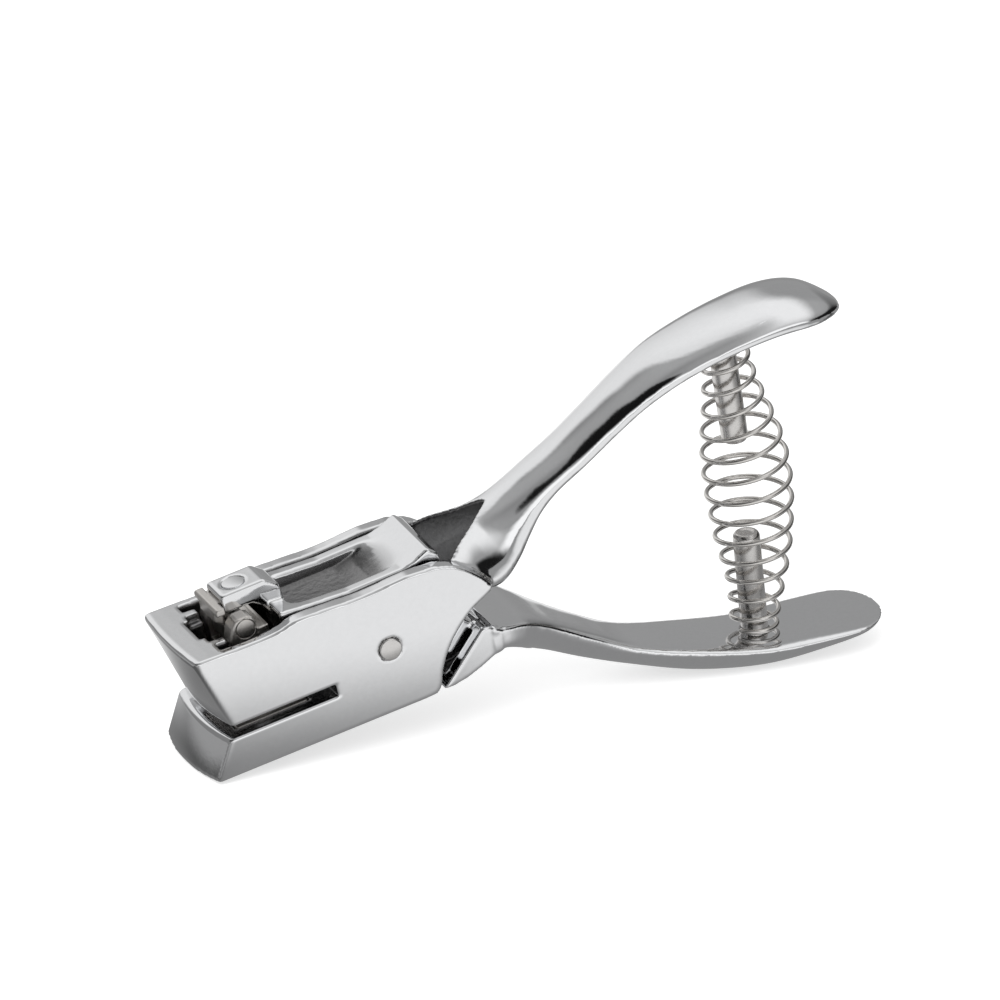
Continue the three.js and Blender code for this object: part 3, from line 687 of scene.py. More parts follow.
def frame_field(x, y, z):
    """The side outline as thick as the plier, with the jaws' fronts and the handle, less all hollows."""
    rear = smooth_line(REAR_LINE, np.linspace(0, 1, 40))
    top = smooth_line(TOP_LINE, np.linspace(0, 1, 30))
    plates = outline_field(x, z, np.vstack([(BEFORE_NOSE, 0), rear, top]))
    throat = outline_field(x, z, rectangle((BEFORE_NOSE, THROAT_END), (THROAT_BOTTOM, THROAT_TOP)))
    casting = both(without(plates, throat, THROAT_EDGE), np.abs(y) - HALF_BODY, BODY_EDGE)
    casting = both(casting, jaws_field(x, y, z), np.interp(z, *FRONT_EDGE))
    handle = handle_field(x, y, z, UPPER_UNDER, UPPER_CREST, *UPPER_SECTION)
    casting = joined(casting, handle, np.interp(x, *NECK_FILLET))
    for hollow, edge in (
        (cavity_field(x, y, z), CAVITY_EDGE),
        (guide_field(x, y, z), CUT_EDGE),
        (bar_field(x, z, PIVOT, PIN_RADIUS + PIN_PLAY), CUT_EDGE),
        (die_space_field(x, y, z), 0.0),
        (post_seat_field(x, y, z, UPPER_POST), SEAT_EDGE),
    ):
        casting = without(casting, hollow, edge)
    return casting


def on_walls(hollow):
    """1 on a hollow's walls, fading to 0 over the next few tenths of a millimetre outside it."""
    return np.clip(1.4 - hollow / 0.3, 0, 1)


def rough_and_shade_in_frame(x, y, z):
    """The cavity and the guide pocket are marked rough and darkened with painted shade, and the throat nearly
    as much, short of the outer faces.
    """
    rough_and_shade = on_walls(joined(cavity_field(x, y, z), guide_field(x, y, z))) * (np.abs(y) < 14)
    in_throat = (x > 7) & (z > THROAT_BOTTOM - 0.1) & (z < THROAT_TOP + 0.1) & (np.abs(y) < 13)
    return np.maximum(rough_and_shade, THROAT_ROUGH_AND_SHADE * in_throat)


def cast_piece(name, field, lines, node, body, roughness):
    """Lays the surface of a casting's field on the grid of three lines and marks where it is rough and
    darkened with painted shade.
    """
    points, quads = surface_net(field(*grid(*lines)), *lines)
    points = calmed(points, quads)
    return make_piece(name, points, quads, node, body, CHROME_PLATE, rough_and_shade=roughness(*points.T))


frame_lines = (
    spaced((-3.2, 78, 96, 158, 169.6), (0.45, 0.6, 0.85, 0.5)),
    spaced((-15.8, -13.6, 13.6, 15.8), (0.36, 0.52, 0.36)),
    spaced((-0.9, 8, 13, 34, 56.5), (0.43, 0.27, 0.43, 0.55)),
)
cast_piece("plated_frame", frame_field, frame_lines, "frame_body", "frame", rough_and_shade_in_frame)

# %% [markdown]
# ## The lever
# The lever is the second casting. Its arm turns inside the frame and has a rough recess on top, darkened with
# painted shade; its nose carries the claw; behind the pivot it widens to the frame's full width and flows
# into the lower handle. It is made as the frame was.

# %% Lines of the lever
ARM_LINE = [
    (24.2, 31.0), (32.0, 30.2), (40.8, 29.6), (54.0, 29.8), (57.0, 30.5), (60.4, 32.0), (62.3, 30.3),
    (63.0, 26.0), (63.1, 19.0), (63.6, 13.4), (66.0, 10.9), (70.0, 9.8), (70.0, 5.0), (59.5, 5.2),
    (56.5, 7.6), (52.0, 8.4), (49.4, 9.0),
]
ARM_FRONT = [(38.3, 17.6), (34.0, 18.6), (24.2, 20.6)]
HUB_RADIUS = 7.2
NOSE_LINE = [
    (13.9, 33.0), (13.9, 36.5), (14.4, 37.0), (24.6, 37.0), (27.4, 34.8), (29.4, 30.6),
    (29.4, 22.0), (24.7, 21.0), (24.3, 28.0), (22.9, 31.0), (20.7, 32.6), (15.0, 32.6),
]
NOSE_HALF = 4.4
REAR_BODY = [
    (54.8, 0.5), (66.6, 11.1), (69.3, 10.3), (70.3, 8.0), (69.8, 4.3), (67.9, 3.7), (64.3, 2.2),
    (60.7, 1.0), (57.3, 0.4),
]
LOWER_UNDER = [
    (68.0, 3.8, 15.1), (71.2, 3.0, 15.0), (74.6, 0.3, 13.5), (78.0, -3.4, 11.0), (82.0, -6.2, 8.9),
    (89.6, -11.5, 7.7), (99.0, -17.0, 8.1), (113.4, -24.3, 9.8), (128.5, -28.9, 11.0), (141.3, -29.9, 11.7),
    (151.0, -29.8, 11.3), (158.0, -29.0, 8.7),
]
LOWER_TOP = [
    (68.6, 10.6), (72.0, 9.4), (76.0, 7.9), (80.6, 4.8), (85.7, 0.5), (93.6, -5.9), (102.0, -12.0),
    (116.0, -18.0), (130.3, -22.9), (142.5, -25.1), (151.4, -26.7), (158.3, -27.9),
]
LOWER_SECTION = (0.78, (6.0, 3.0, 1), (8.0, 2.3, 0.28), 0.11)
WINDOW_HALF = 7.25
WINDOW_SIDE = [(56.2, WINDOW_HALF), (30.2, WINDOW_HALF), (28.6, 6.6), (28.0, 5.0)]
RECESS_FLOOR = ([27, 30.5, 44, 48, 52, 56.2], [26, 25.5, 25.5, 26.5, 28.7, 30.4])
RECESS_DISH = 1.2
CHANNEL = [(55.4, 2.2), (60.5, 2.6), (66.5, 5.0), (66.8, 8.8), (64.6, 9.6), (56.5, 2.3)]
CHANNEL_MIDDLE, CHANNEL_HALF = 9.2, 2.2
TANG_END, TANG_HALF, TANG_BOTTOM, TANG_TOP = 22.0, 3.0, 33.9, 35.2
SHANK_HOLE_BOTTOM, HEAD_HOLE_BOTTOM = 32.9, 36.04

# %% Hollows of the lever
def recess_field(x, y, z):
    """The recess in the arm's top. Its floor is dished towards both sides and climbs to the slab behind."""
    floor = np.interp(x, *RECESS_FLOOR) + RECESS_DISH * (np.abs(y) / WINDOW_HALF) ** 3
    return both(outline_field(x, y, mirrored(WINDOW_SIDE)), floor - z, 0.6)


def channel_field(x, y, z):
    """Two hollows behind the pivot, beside the rib in the middle."""
    return both(outline_field(x, z, CHANNEL), np.abs(np.abs(y) - CHANNEL_MIDDLE) - CHANNEL_HALF, 0.2)


def claw_seat_field(x, y, z):
    """The slot in the nose for the claw's tang, and the rivet's hole with the wider seat of its head."""
    tang_z = (TANG_BOTTOM - GAP, TANG_TOP + GAP)
    space = box_field(x, y, z, (BEFORE_NOSE, TANG_END + GAP), TANG_HALF + GAP, tang_z)
    for radius, bottom in ((RIVET_SHANK, SHANK_HOLE_BOTTOM), (RIVET_HEAD, HEAD_HOLE_BOTTOM)):
        space = joined(space, both(np.hypot(x - RIVET_X, y) - radius - PIN_PLAY, bottom - z))
    return space


# %% Lever
ARM_EDGE, NOSE_EDGE, SOFT_FILLET = 0.5, 0.45, 0.8


def lever_field(x, y, z):
    """The narrow arm with its hub, the nose, the wide rear body and the handle joined, less all hollows."""
    turn = np.linspace(-math.pi / 4, -math.pi, 14)
    hub = np.stack([PIVOT[0] + HUB_RADIUS * np.cos(turn), PIVOT[1] + HUB_RADIUS * np.sin(turn)], axis=1)
    arm = both(outline_field(x, z, np.vstack([ARM_LINE, hub, ARM_FRONT])), np.abs(y) - ARM_HALF, ARM_EDGE)
    nose = both(outline_field(x, z, NOSE_LINE), np.abs(y) - NOSE_HALF, NOSE_EDGE)
    rear = both(outline_field(x, z, REAR_BODY), np.abs(y) - HALF_BODY, ARM_EDGE)
    handle = handle_field(x, y, z, LOWER_UNDER, LOWER_TOP, *LOWER_SECTION)
    casting = joined(joined(joined(arm, nose, SOFT_FILLET), rear, ARM_EDGE), handle, SOFT_FILLET)
    for hollow, edge in (
        (recess_field(x, y, z), SOFT_FILLET),
        (channel_field(x, y, z), CUT_EDGE),
        (claw_seat_field(x, y, z), 0.0),
        (bar_field(x, z, PIVOT, PIN_RADIUS + PIN_PLAY), 0.0),
        (post_seat_field(x, y, z, LOWER_POST), SEAT_EDGE),
    ):
        casting = without(casting, hollow, edge)
    return casting


def rough_and_shade_in_lever(x, y, z):
    """The recess and the channels are marked rough and darkened with painted shade. The mark fades out up the
    slope behind the recess.
    """
    return on_walls(joined(recess_field(x, y, z), channel_field(x, y, z))) * np.clip((30 - z) / 2.2, 0, 1)


lever_lines = (
    spaced((13.2, 78, 150, 160), (0.42, 0.65, 0.45)),
    np.linspace(-15.7, 15.7, 75),
    spaced((-31.2, -20, -4, 37.8), (0.34, 0.5, 0.42)),
)
cast_piece("plated_lever", lever_field, lever_lines, "lever", "lever", rough_and_shade_in_lever)

# %% [markdown]
# ## Claw, punch and die
# These are small steel pieces, milled rather than cast, with edges broken by a fraction of a millimetre.
# The same kind of field makes them, on a finer grid.

# %% Claw hook
HOOK_LINE = [
    (13.1, 25.4), (13.1, 30.4), (11.4, 31.6), (11.4, 34.8), (11.9, TANG_TOP), (TANG_END, TANG_TOP),
    (TANG_END, TANG_BOTTOM), (13.6, TANG_BOTTOM), (13.6, 31.9), (13.9, 30.0), (14.0, 28.4), (14.8, 27.2),
    (18.0, 27.2), (18.6, 26.2), (18.0, 25.2),
]
HOOK_HALF, HOOK_EDGE = 4.35, 0.25
BAR_HALF, BAR_BACK, BAR_BOTTOM = 6.4, 13.6, 33.6


def small_piece(name, field, x_range, half_width, z_range, step, node, body, finish):
    """Lays the surface of a field on an even grid, with a margin of two steps on every side."""
    xs = np.arange(x_range[0] - 2 * step, x_range[1] + 3 * step, step)
    ys = np.linspace(-half_width - 2 * step, half_width + 2 * step, int(2 * half_width / step) + 5)
    zs = np.arange(z_range[0] - 2 * step, z_range[1] + 3 * step, step)
    points, quads = surface_net(field(*grid(xs, ys, zs)), xs, ys, zs)
    return make_piece(name, points, quads, node, body, finish)


def hook_field(x, y, z):
    """A narrow hook with a wide bar across its top front, and the pierced tang behind the bar."""
    outline = outline_field(x, z, HOOK_LINE)
    bar = both(both(outline, np.abs(y) - BAR_HALF, HOOK_EDGE), BAR_BOTTOM - z, HOOK_EDGE)
    whole = joined(both(outline, np.abs(y) - HOOK_HALF, HOOK_EDGE), bar)
    beside = both(both(BAR_BACK - x, BAR_BOTTOM - z), TANG_HALF - np.abs(y))
    return without(without(whole, beside), np.hypot(x - RIVET_X, y) - RIVET_SHANK - PIN_PLAY)


hook_x, hook_z = (11.4, TANG_END), (25.2, TANG_TOP)
small_piece("claw", hook_field, hook_x, BAR_HALF, hook_z, 0.17, "claw_hook", "lever", DARK_STEEL)

# %% Punch
PUNCH_LINE = [
    (12.2, 20.6), (12.2, 28.1), (13.3, 31.2), (14.4, 32.4), (15.2, 32.7), (17.4, 32.7), (18.5, 32.2),
    (19.0, 31.2), (19.1, 28.1), (22.1, 28.1), (22.1, 20.6),
]
PUNCH_HALF, PUNCH_EDGE, PUNCH_CUT_EDGE = 9.1, 0.5, 0.2
RELIEF_BACK, RELIEF_HALF, RELIEF_FLOOR = 19.4, 4.9, 23.6
STRIP_X, STRIP_Z = (19.1, 20.9), (20.6, 29.1)
WING_HALF = 7.3
BLADE_TOP = 20.9
BLADE_TIP = THROAT_TOP + 0.5


def punch_field(x, y, z):
    """Two ears round the cross pin on a head with a strip across it, and the slot-shaped blade below."""
    ears = both(outline_field(x, z, PUNCH_LINE), np.abs(y) - PUNCH_HALF, PUNCH_EDGE)
    relief = both(both(x - RELIEF_BACK, np.abs(y) - RELIEF_HALF), RELIEF_FLOOR - z)
    wing = both(STRIP_X[1] - x, WING_HALF - np.abs(y))
    ears = without(without(ears, relief, PUNCH_CUT_EDGE), wing, PUNCH_CUT_EDGE)
    strip = box_field(x, y, z, STRIP_X, PUNCH_HALF, STRIP_Z, PUNCH_CUT_EDGE)
    blade = both(both(slot_field(x, y), z - BLADE_TOP), BLADE_TIP - z, 0.1)
    whole = joined(joined(ears, strip), blade)
    return without(whole, bar_field(x, z, CROSS_PIN, CROSS_PIN_RADIUS + PIN_PLAY))


punch_z = (BLADE_TIP, 32.7)
small_piece("slot_punch", punch_field, (12.2, 22.1), PUNCH_HALF, punch_z, 0.2, "punch", "punch", DARK_STEEL)

# %% Die plate and its screws
SCREW_PLACES = (11.2, 22.2)
SCREW_RADIUS, SCREW_HEAD = 1.5, 2.8
SCREW_Z = (0.4, 8.3)
CONE_TOP = 2.0
DRIVER_HALF, DRIVER_TOP = 0.4, 1.2
DIE_PLAY = 0.1


def die_field(x, y, z):
    """A flat plate with the slot through it and a blind hole from below for each screw."""
    plate = box_field(x, y, z, DIE_X, DIE_HALF, DIE_Z, 0.2)
    plate = without(plate, slot_field(x, y, DIE_PLAY))
    for place in SCREW_PLACES:
        hole = np.hypot(x - place, y) - SCREW_RADIUS - PIN_PLAY
        plate = without(plate, both(hole, z - SCREW_Z[1] - PIN_PLAY))
    return plate


small_piece("die", die_field, DIE_X, DIE_HALF, DIE_Z, 0.3, "die_plate", "frame", DARK_STEEL)


def screw_field(place):
    """A countersunk screw seen from below, with a straight driver slot across its head."""

    def field(x, y, z):
        cone = np.interp(z, [SCREW_Z[0], CONE_TOP], [SCREW_HEAD, SCREW_RADIUS])
        body = both(both(np.hypot(x - place, y) - cone, SCREW_Z[0] - z, 0.15), z - SCREW_Z[1])
        return without(body, both(np.abs(y) - DRIVER_HALF, z - DRIVER_TOP))

    return field


for number, place in enumerate(SCREW_PLACES, start=1):
    name, node = f"screw_{number}", f"die_screw_{number}"
    span = (place - SCREW_HEAD, place + SCREW_HEAD)
    small_piece(name, screw_field(place), span, SCREW_HEAD, SCREW_Z, 0.16, node, "frame", GROUND_STEEL)

# %% [markdown]
# ## Turned pieces
# Pins, posts and the rivet come from a lathe. A turned surface needs two numbers for each point: how far
# along the profile it lies, and how far round. Each end of the profile meets the axis in a single corner.

# %% Turned surface
def tube_faces(rings, sides):
    """Four-sided faces between rings of corners that follow one another."""
    i = np.arange(rings - 1)[:, None] * sides
    j = np.arange(sides)
    k = (j + 1) % sides
    return np.stack([i + j, i + k, i + sides + k, i + sides + j], axis=-1).reshape(-1, 4)


def cap_faces(rings, sides):
    """Triangles that close a tube, from two more corners: one before its first ring, one behind its last."""
    j = np.arange(sides)
    k = (j + 1) % sides
    last = (rings - 1) * sides
    foot = np.full(sides, rings * sides)
    return np.vstack([np.stack([foot, k, j], axis=1), np.stack([last + j, last + k, foot + 1], axis=1)])


def turned(profile, start, direction, sides):
    """Radius times cosine and sine of the angle in the plane across the axis, plus the distance along it."""
    profile = np.asarray(profile, dtype=float)
    axis = np.asarray(direction, dtype=float) / np.linalg.norm(direction)
    helper = np.array([0.0, 1.0, 0.0]) if abs(axis[1]) < 0.9 else np.array([1.0, 0.0, 0.0])
    one = np.cross(helper, axis)
    one /= np.linalg.norm(one)
    two = np.cross(axis, one)
    angle = np.linspace(0, 2 * math.pi, sides, endpoint=False)
    ring = np.cos(angle)[:, None] * one + np.sin(angle)[:, None] * two
    inner = profile[1:-1]
    rows = inner[:, 0, None, None] * ring + inner[:, 1, None, None] * axis
    poles = profile[[0, -1], 1, None] * axis
    points = np.vstack([rows.reshape(-1, 3), poles]) + np.asarray(start, dtype=float)
    return points, tube_faces(len(inner), sides), cap_faces(len(inner), sides)


def rounded_profile(profile, radius, steps=5):
    """Each inner corner of the profile becomes a short quadratic curve that starts and ends at the radius."""
    made = [profile[0]]
    for before, corner, after in zip(profile[:-2], profile[1:-1], profile[2:]):
        before, corner, after = (np.asarray(p, dtype=float) for p in (before, corner, after))
        back = before - corner
        ahead = after - corner
        reach = min(radius, 0.45 * np.linalg.norm(back), 0.45 * np.linalg.norm(ahead))
        a = corner + back / np.linalg.norm(back) * reach
        b = corner + ahead / np.linalg.norm(ahead) * reach
        for share in np.linspace(0, 1, steps):
            made.append(tuple((1 - share) ** 2 * a + 2 * share * (1 - share) * corner + share**2 * b))
    return made + [profile[-1]]


def turned_piece(name, profile, start, direction, node, body, finish, radius, sides=64):
    """A turned piece whose profile starts at a place and goes along a direction, with its corners rounded."""
    points, quads, triangles = turned(rounded_profile(profile, radius), start, direction, sides)
    return make_piece(name, points, quads, node, body, finish, triangles)


# %% Pins and rivet
PIVOT_HALF, PIVOT_CROWN = 15.65, 0.3
CROSS_PIN_HALF, CROSS_PIN_CROWN = 9.2, 0.1
RIVET_PROFILE = [
    (0, 33.1), (RIVET_SHANK, 33.1), (RIVET_SHANK, 36.2), (RIVET_HEAD, 36.2), (RIVET_HEAD, 37.02), (0, 37.05),
]
ACROSS, UPWARDS = (0, 1, 0), (0, 0, 1)


def pin_profile(radius, half_length, crown):
    """A straight pin with a slightly crowned end on both sides."""
    rim = half_length - crown
    return [(0, -half_length), (radius, -rim), (radius, rim), (0, half_length)]


pivot_profile = pin_profile(PIN_RADIUS, PIVOT_HALF, PIVOT_CROWN)
pivot_place = (PIVOT[0], 0, PIVOT[1])
turned_piece("pivot", pivot_profile, pivot_place, ACROSS, "pivot_pin", "frame", GROUND_STEEL, 0.25, 96)
cross_profile = pin_profile(CROSS_PIN_RADIUS, CROSS_PIN_HALF, CROSS_PIN_CROWN)
cross_place = (CROSS_PIN[0], 0, CROSS_PIN[1])
turned_piece("cross_pin", cross_profile, cross_place, ACROSS, "punch_cross_pin", "punch", DARK_STEEL, 0.2)
rivet_place, plated_rivet = (RIVET_X, 0, 0), ("ground_steel", chrome)
turned_piece("claw_rivet", RIVET_PROFILE, rivet_place, UPWARDS, "hook_rivet", "lever", plated_rivet, 0.12)

# %% Spring posts
SPIGOT_LENGTH = 2.2


def post_profile(length):
    """A spigot, a straight post with a rounded rim, and a shallow dish in its top."""
    spigot = [(0, -SPIGOT_LENGTH), (SPIGOT_RADIUS, -SPIGOT_LENGTH), (SPIGOT_RADIUS, 0), (POST_RADIUS, 0)]
    rim = [(POST_RADIUS, length - 0.9), (2.5, length - 0.1), (1.9, length)]
    return spigot + rim + [(1.3, length - 0.25), (0, length - 0.3)]


for name, node, body, (foot, tip) in (
    ("lower_post", "lower_spring_post", "lever", LOWER_POST),
    ("upper_post", "upper_spring_post", "frame", UPPER_POST),
):
    run = (tip[0] - foot[0], 0, tip[1] - foot[1])
    profile = post_profile(np.linalg.norm(run))
    turned_piece(name, profile, (foot[0], 0, foot[1]), run, node, body, GROUND_STEEL, 0.35)

# %% [markdown]
# ## The barrel spring
# The spring is one round wire wound into a barrel. Its middle line is a helix whose radius swells in the
# middle, whose turns lie close at both ends, and whose axis bends a little from one post to the other. The
# wire is a circle carried along that line.

# %% Spring
SPRING_AXIS = [
    (130.3, -21.8), (133.8, -9.2), (135.6, 1.2), (137.1, 11.6), (138.1, 22.5), (138.9, 38.9), (139.3, 45.9),
]
SPRING_RADII = [4.95, 5.35, 6.1, 7.2, 8.25, 8.8, 9.3, 9.4, 9.1, 8.3, 7.1, 6.05, 5.35, 5.05]
WIRE_RADIUS = 0.57
WIRE_SIDES = 14
WIRE_END = 0.4
TURNS = 14.5
STEPS_PER_TURN = 56
CLOSED_PITCH = 1.7
CLOSED_TURNS = 0.95
SPRING_PHASE = 0.586


def spring_line(shares):
    """A helix round the bent axis. Its rise is even, and a hyperbolic tangent closes up the end turns."""
    axis = smooth_line(SPRING_AXIS, np.linspace(0, 1, 2000))
    travelled = np.concatenate([[0], np.cumsum(np.linalg.norm(np.diff(axis, axis=0), axis=1))])
    length = travelled[-1]
    turn = shares * TURNS
    pitch = (length - 2 * CLOSED_PITCH * CLOSED_TURNS) / (TURNS - 2 * CLOSED_TURNS)
    held = np.tanh(turn / CLOSED_TURNS) + np.tanh((turn - TURNS) / CLOSED_TURNS) + 1
    along = np.clip(pitch * turn - (pitch - CLOSED_PITCH) * CLOSED_TURNS * held, 0, length)
    cx, cz = (np.interp(along, travelled, axis[:, i]) for i in (0, 1))
    ux, uz = (np.interp(along, travelled, np.gradient(axis[:, i], travelled)) for i in (0, 1))
    size = np.hypot(ux, uz)
    radius = smooth_line(list(enumerate(SPRING_RADII)), along / length)[:, 1]
    angle = 2 * math.pi * (turn + SPRING_PHASE)
    aside, across = radius * np.cos(angle), radius * np.sin(angle)
    outward = np.stack([aside * uz / size, across, -aside * ux / size], axis=1)
    return outward + np.stack([cx, np.zeros_like(cx), cz], axis=1), outward


def wire(line, outward, radius, sides):
    """Circles across the line's direction, with one corner in the middle of each end."""
    ahead = np.gradient(line, axis=0)
    ahead /= np.linalg.norm(ahead, axis=1)[:, None]
    one = outward - np.sum(outward * ahead, axis=1)[:, None] * ahead
    one /= np.linalg.norm(one, axis=1)[:, None]
    two = np.cross(ahead, one)
    angle = np.linspace(0, 2 * math.pi, sides, endpoint=False)[:, None]
    rows = line[:, None] + radius * (np.cos(angle) * one[:, None] + np.sin(angle) * two[:, None])
    ends = line[[0, -1]] + np.array([[-1], [1]]) * ahead[[0, -1]] * radius * WIRE_END
    return np.vstack([rows.reshape(-1, 3), ends]), tube_faces(len(line), sides), cap_faces(len(line), sides)


line, outward = spring_line(np.linspace(0, 1, int(TURNS * STEPS_PER_TURN)))
points, quads, triangles = wire(line, outward, WIRE_RADIUS, WIRE_SIDES)
finish = ("spring_steel", wire_steel)
spring = make_piece("barrel_spring", points, quads, "return_spring", None, finish, triangles)
top_end, low_end = to_model(np.array([(x, 0, z) for x, z in (SPRING_AXIS[-1], SPRING_AXIS[0])]))
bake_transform(spring)

# %% [markdown]
# ## Floor, light and surroundings
# Chrome has hardly any colour of its own: what it shows is the room. The room here is a grey tent with a
# few soft bright and dark patches, like the sheets and flags round a product table, and under the plier a
# card that is dark where the floor lies in the plier's shade: a painted floor shadow. They give the handles
# and the neck their bright and dark lines. The camera sees the pale floor, and only the metal sees the tent.

# %% Things of the set
FLOOR_BELOW, SHADE_CARD_BELOW = 0.0002, 0.0001
FLOOR_HALF, SHADE_CARD_HALF = 4.0, 2.9
FLOOR_LIFT = 0.55


def put_on_set(name, corners, faces, material, height=0.0):
    """A thing that stands round the plier and isn't one of its pieces."""
    mesh = bpy.data.meshes.new(name)
    mesh.from_pydata(corners, [], faces)
    mesh.materials.append(material)
    thing = bpy.data.objects.new(name, mesh)
    thing.location.z = height
    bpy.context.scene.collection.objects.link(thing)
    return thing


def put_sheet(name, half, below, material):
    """A level square sheet, a little below the place that the plier stands on."""
    corners = [(*corner, 0) for corner in rectangle((-half, half), (-half, half))]
    return put_on_set(name, corners, [(0, 1, 2, 3)], material, cad_box[0].z - below)


def only_mirrored(thing):
    """Only reflections see it: it hides nothing from the camera, throws no shadow and gives no soft light."""
    thing.visible_camera = False
    thing.visible_shadow = False
    thing.visible_diffuse = False
    thing.visible_transmission = False


def seen_directly(tree):
    """1 for rays from the camera, off mirrors or through glass, and 0 for the soft light on other things."""
    path = add_node(tree, "ShaderNodeLightPath").outputs
    seen = calculate(tree, "MAXIMUM", path["Is Camera Ray"], path["Is Glossy Ray"])
    return calculate(tree, "MAXIMUM", seen, path["Is Transmission Ray"])


def floor_paint():
    """A pale, quite matt floor. What the camera and the mirrors see of it is lifted to white."""
    material, tree, shader = new_material("pale_floor")
    feed(shader, {
        "Base Color": (0.8, 0.8, 0.8, 1),
        "Roughness": 0.8,
        "Specular IOR Level": 0.0,
        "Emission Color": (1, 1, 1, 1),
        "Emission Strength": calculate(tree, "MULTIPLY", seen_directly(tree), FLOOR_LIFT),
    })
    return material


put_sheet("floor", FLOOR_HALF, FLOOR_BELOW, floor_paint())
print("floor at", round(cad_box[0].z - FLOOR_BELOW, 5))


# %% World and lamp
def make_world():
    """White where it is seen, and a plainer white for the light that it gives."""
    world = bpy.data.worlds.new("tent")
    bpy.context.scene.world = world
    world.use_nodes = True
    tree = world.node_tree
    strength = ranged(tree, seen_directly(tree), (0, 1), (0.7, 1.0))
    feed(tree.nodes["Background"], {"Color": (1, 1, 1, 1), "Strength": strength})


def make_lamp(name, place, aim, size, power):
    """A soft square lamp that looks from its place at its aim. The metal doesn't mirror it."""
    data = bpy.data.lights.new(name, "AREA")
    data.size = size
    data.energy = power
    lamp = bpy.data.objects.new(name, data)
    bpy.context.scene.collection.objects.link(lamp)
    lamp.location = place
    lamp.rotation_mode = "QUATERNION"
    lamp.rotation_quaternion = (Vector(aim) - Vector(place)).to_track_quat("-Z", "Y")
    lamp.visible_glossy = False


make_world()
make_lamp("key", (-0.5, -0.7, 0.9), (0, 0, 0.03), 0.7, 6.0)

# %% [markdown]
# A soft card is a patch of light on the tent. The group below makes its mask. In the list of cards azimuth
# 0 lies behind the plier and 90 to its right, angles are in degrees, and grey is the light that the card
# sends out.

# %% Soft cards
TENT_GREY = 0.22
SOFT_CARDS = [
    # azimuth, elevation, half width, half height, softness, grey
    (-170, 70, 60, 20, 0.4, 0.25),
    (0, 72, 45, 26, 0.5, 0.4),
    (-6, 35, 18, 48, 0.2, 0.82),
    (105, 58, 72, 33, 0.7, 0.4),
    (75, 74, 60, 16, 0.6, 0.95),
    (178, 0, 40, 17, 0.35, 1.1),
    (30, 25, 18, 22, 0.35, 0.33),
    (58, 3, 20, 15, 0.35, 0.2),
    (98, 2, 46, 20, 0.2, 0.01),
    (-105, 40, 46, 12, 0.15, 0.008),
]
CARD_LABELS = ("Azimuth", "Elevation", "Half Width", "Half Height", "Softness")
CARD_POWER = 3


def make_soft_card():
    """1 inside a soft-edged patch of the tent, 0 outside. The direction is turned until the patch's centre
    lies along +Y. Its right and up angles, each divided by half the patch's size, tell how far out it is."""
    group, start, end = new_group("soft_card", CARD_LABELS, ("Mask",))
    inputs = {"Vector": start["Vector"], "Angle": start["Azimuth"]}
    turn = add_node(group, "ShaderNodeVectorRotate", inputs, rotation_type="Z_AXIS").outputs["Vector"]
    inputs = {"Vector": turn, "Angle": calculate(group, "MULTIPLY", start["Elevation"], -1)}
    tip = add_node(group, "ShaderNodeVectorRotate", inputs, rotation_type="X_AXIS").outputs["Vector"]
    parts = add_node(group, "ShaderNodeSeparateXYZ", {"Vector": tip}).outputs
    right = calculate(group, "ARCTAN2", parts["X"], parts["Y"])
    up = calculate(group, "ARCSINE", parts["Z"])
    powers = []
    for angle, label in ((right, "Half Width"), (up, "Half Height")):
        share = calculate(group, "ABSOLUTE", calculate(group, "DIVIDE", angle, start[label]))
        powers.append(calculate(group, "POWER", share, CARD_POWER))
    out = calculate(group, "POWER", calculate(group, "ADD", *powers), 1 / CARD_POWER)
    edge = [calculate(group, operation, 1, start["Softness"]) for operation in ("SUBTRACT", "ADD")]
    feed(end, {"Mask": ranged(group, out, edge, (1, 0), smooth=True)})
    return group


def glowing(name, light):
    """A material that only sends out light, as strong as the given function works out in its tree."""
    material, tree, shader = new_material(name)
    tree.nodes.remove(shader)
    glow = add_node(tree, "ShaderNodeEmission", {"Strength": light(tree)})
    feed(tree.nodes["Material Output"], {"Surface": glow.outputs["Emission"]})
    return material


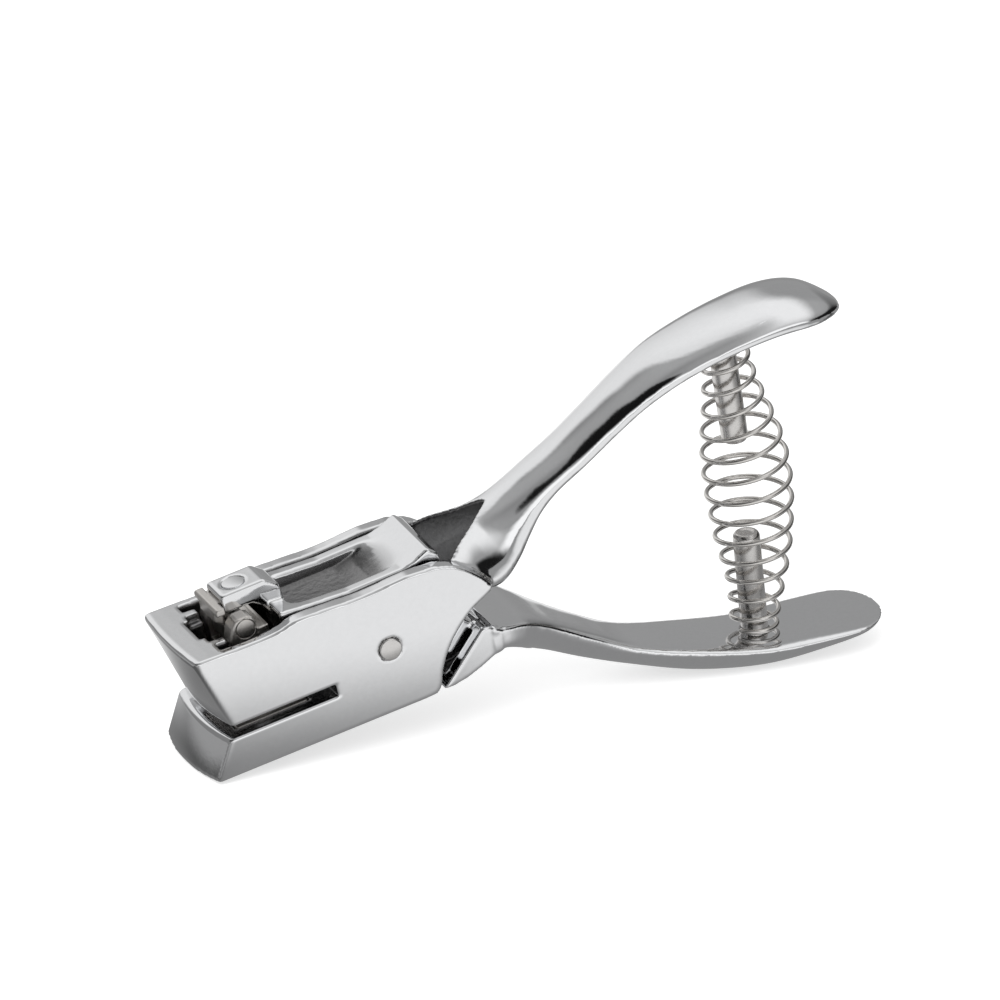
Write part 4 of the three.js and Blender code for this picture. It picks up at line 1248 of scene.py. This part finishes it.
def tent_light(tree):
    """One grey with the soft cards laid over it, each in its direction."""
    soft_card = make_soft_card()
    place = add_node(tree, "ShaderNodeTexCoord").outputs["Object"]
    direction = add_node(tree, "ShaderNodeVectorMath", {0: place}, operation="NORMALIZE").outputs["Vector"]
    light = TENT_GREY
    for *angles, softness, grey in SOFT_CARDS:
        values = dict(zip(CARD_LABELS, [*map(math.radians, angles), softness]))
        card = add_node(tree, "ShaderNodeGroup", {"Vector": direction, **values}, node_tree=soft_card)
        light = mixed(tree, card.outputs["Mask"], light, grey)
    return light


# %% Tent
TENT_RADIUS = 3.0
TENT_RINGS, TENT_SIDES = 24, 48
POLE_GAP = 0.02


def make_tent():
    """A big sphere round the set: sine and cosine of two angles, with a small hole at each pole."""
    around = np.linspace(0, 2 * math.pi, TENT_SIDES, endpoint=False)
    height = np.linspace(POLE_GAP, math.pi - POLE_GAP, TENT_RINGS)[:, None]
    parts = (np.sin(height) * np.cos(around), np.sin(height) * np.sin(around), np.cos(height) + 0 * around)
    corners = TENT_RADIUS * np.stack(parts, axis=-1).reshape(-1, 3)
    faces = tube_faces(TENT_RINGS, TENT_SIDES)
    return put_on_set("tent", corners.tolist(), faces.tolist(), glowing("tent_cloth", tent_light))


only_mirrored(make_tent())
print("tent with", len(SOFT_CARDS), "soft cards")

# %% Painted floor shade
AWAY_LIGHT = ((0.02, 0.075), (0.27, 0.88))
RIGHT_LIGHT = ((0.1, 0.22), (1.0, 0.35))
LEFT_LIGHT = ((-0.1, -0.065), (0.38, 1.0))


def floor_shade_light(tree):
    """Painted floor shade as the metal sees it: dark near the plier, brighter in front of it and behind it,
    and darker again past its two ends.
    """
    place = add_node(tree, "ShaderNodeTexCoord").outputs["Object"]
    parts = add_node(tree, "ShaderNodeSeparateXYZ", {"Vector": place}).outputs
    away = ranged(tree, calculate(tree, "ABSOLUTE", parts["Y"]), *AWAY_LIGHT, smooth=True)
    left, right = (ranged(tree, parts["X"], *light, smooth=True) for light in (LEFT_LIGHT, RIGHT_LIGHT))
    return calculate(tree, "MULTIPLY", away, calculate(tree, "MULTIPLY", left, right))


# Only the metal sees this card; its darkness near the plier is a painted shadow of the plier on the floor.
only_mirrored(put_sheet("ground_card", SHADE_CARD_HALF, SHADE_CARD_BELOW, glowing("floor_shade_glow", floor_shade_light)))

# %% Picture settings
bpy.context.scene.view_settings.view_transform = "Standard"
print("CAD box", [[round(c, 4) for c in v] for v in cad_box])
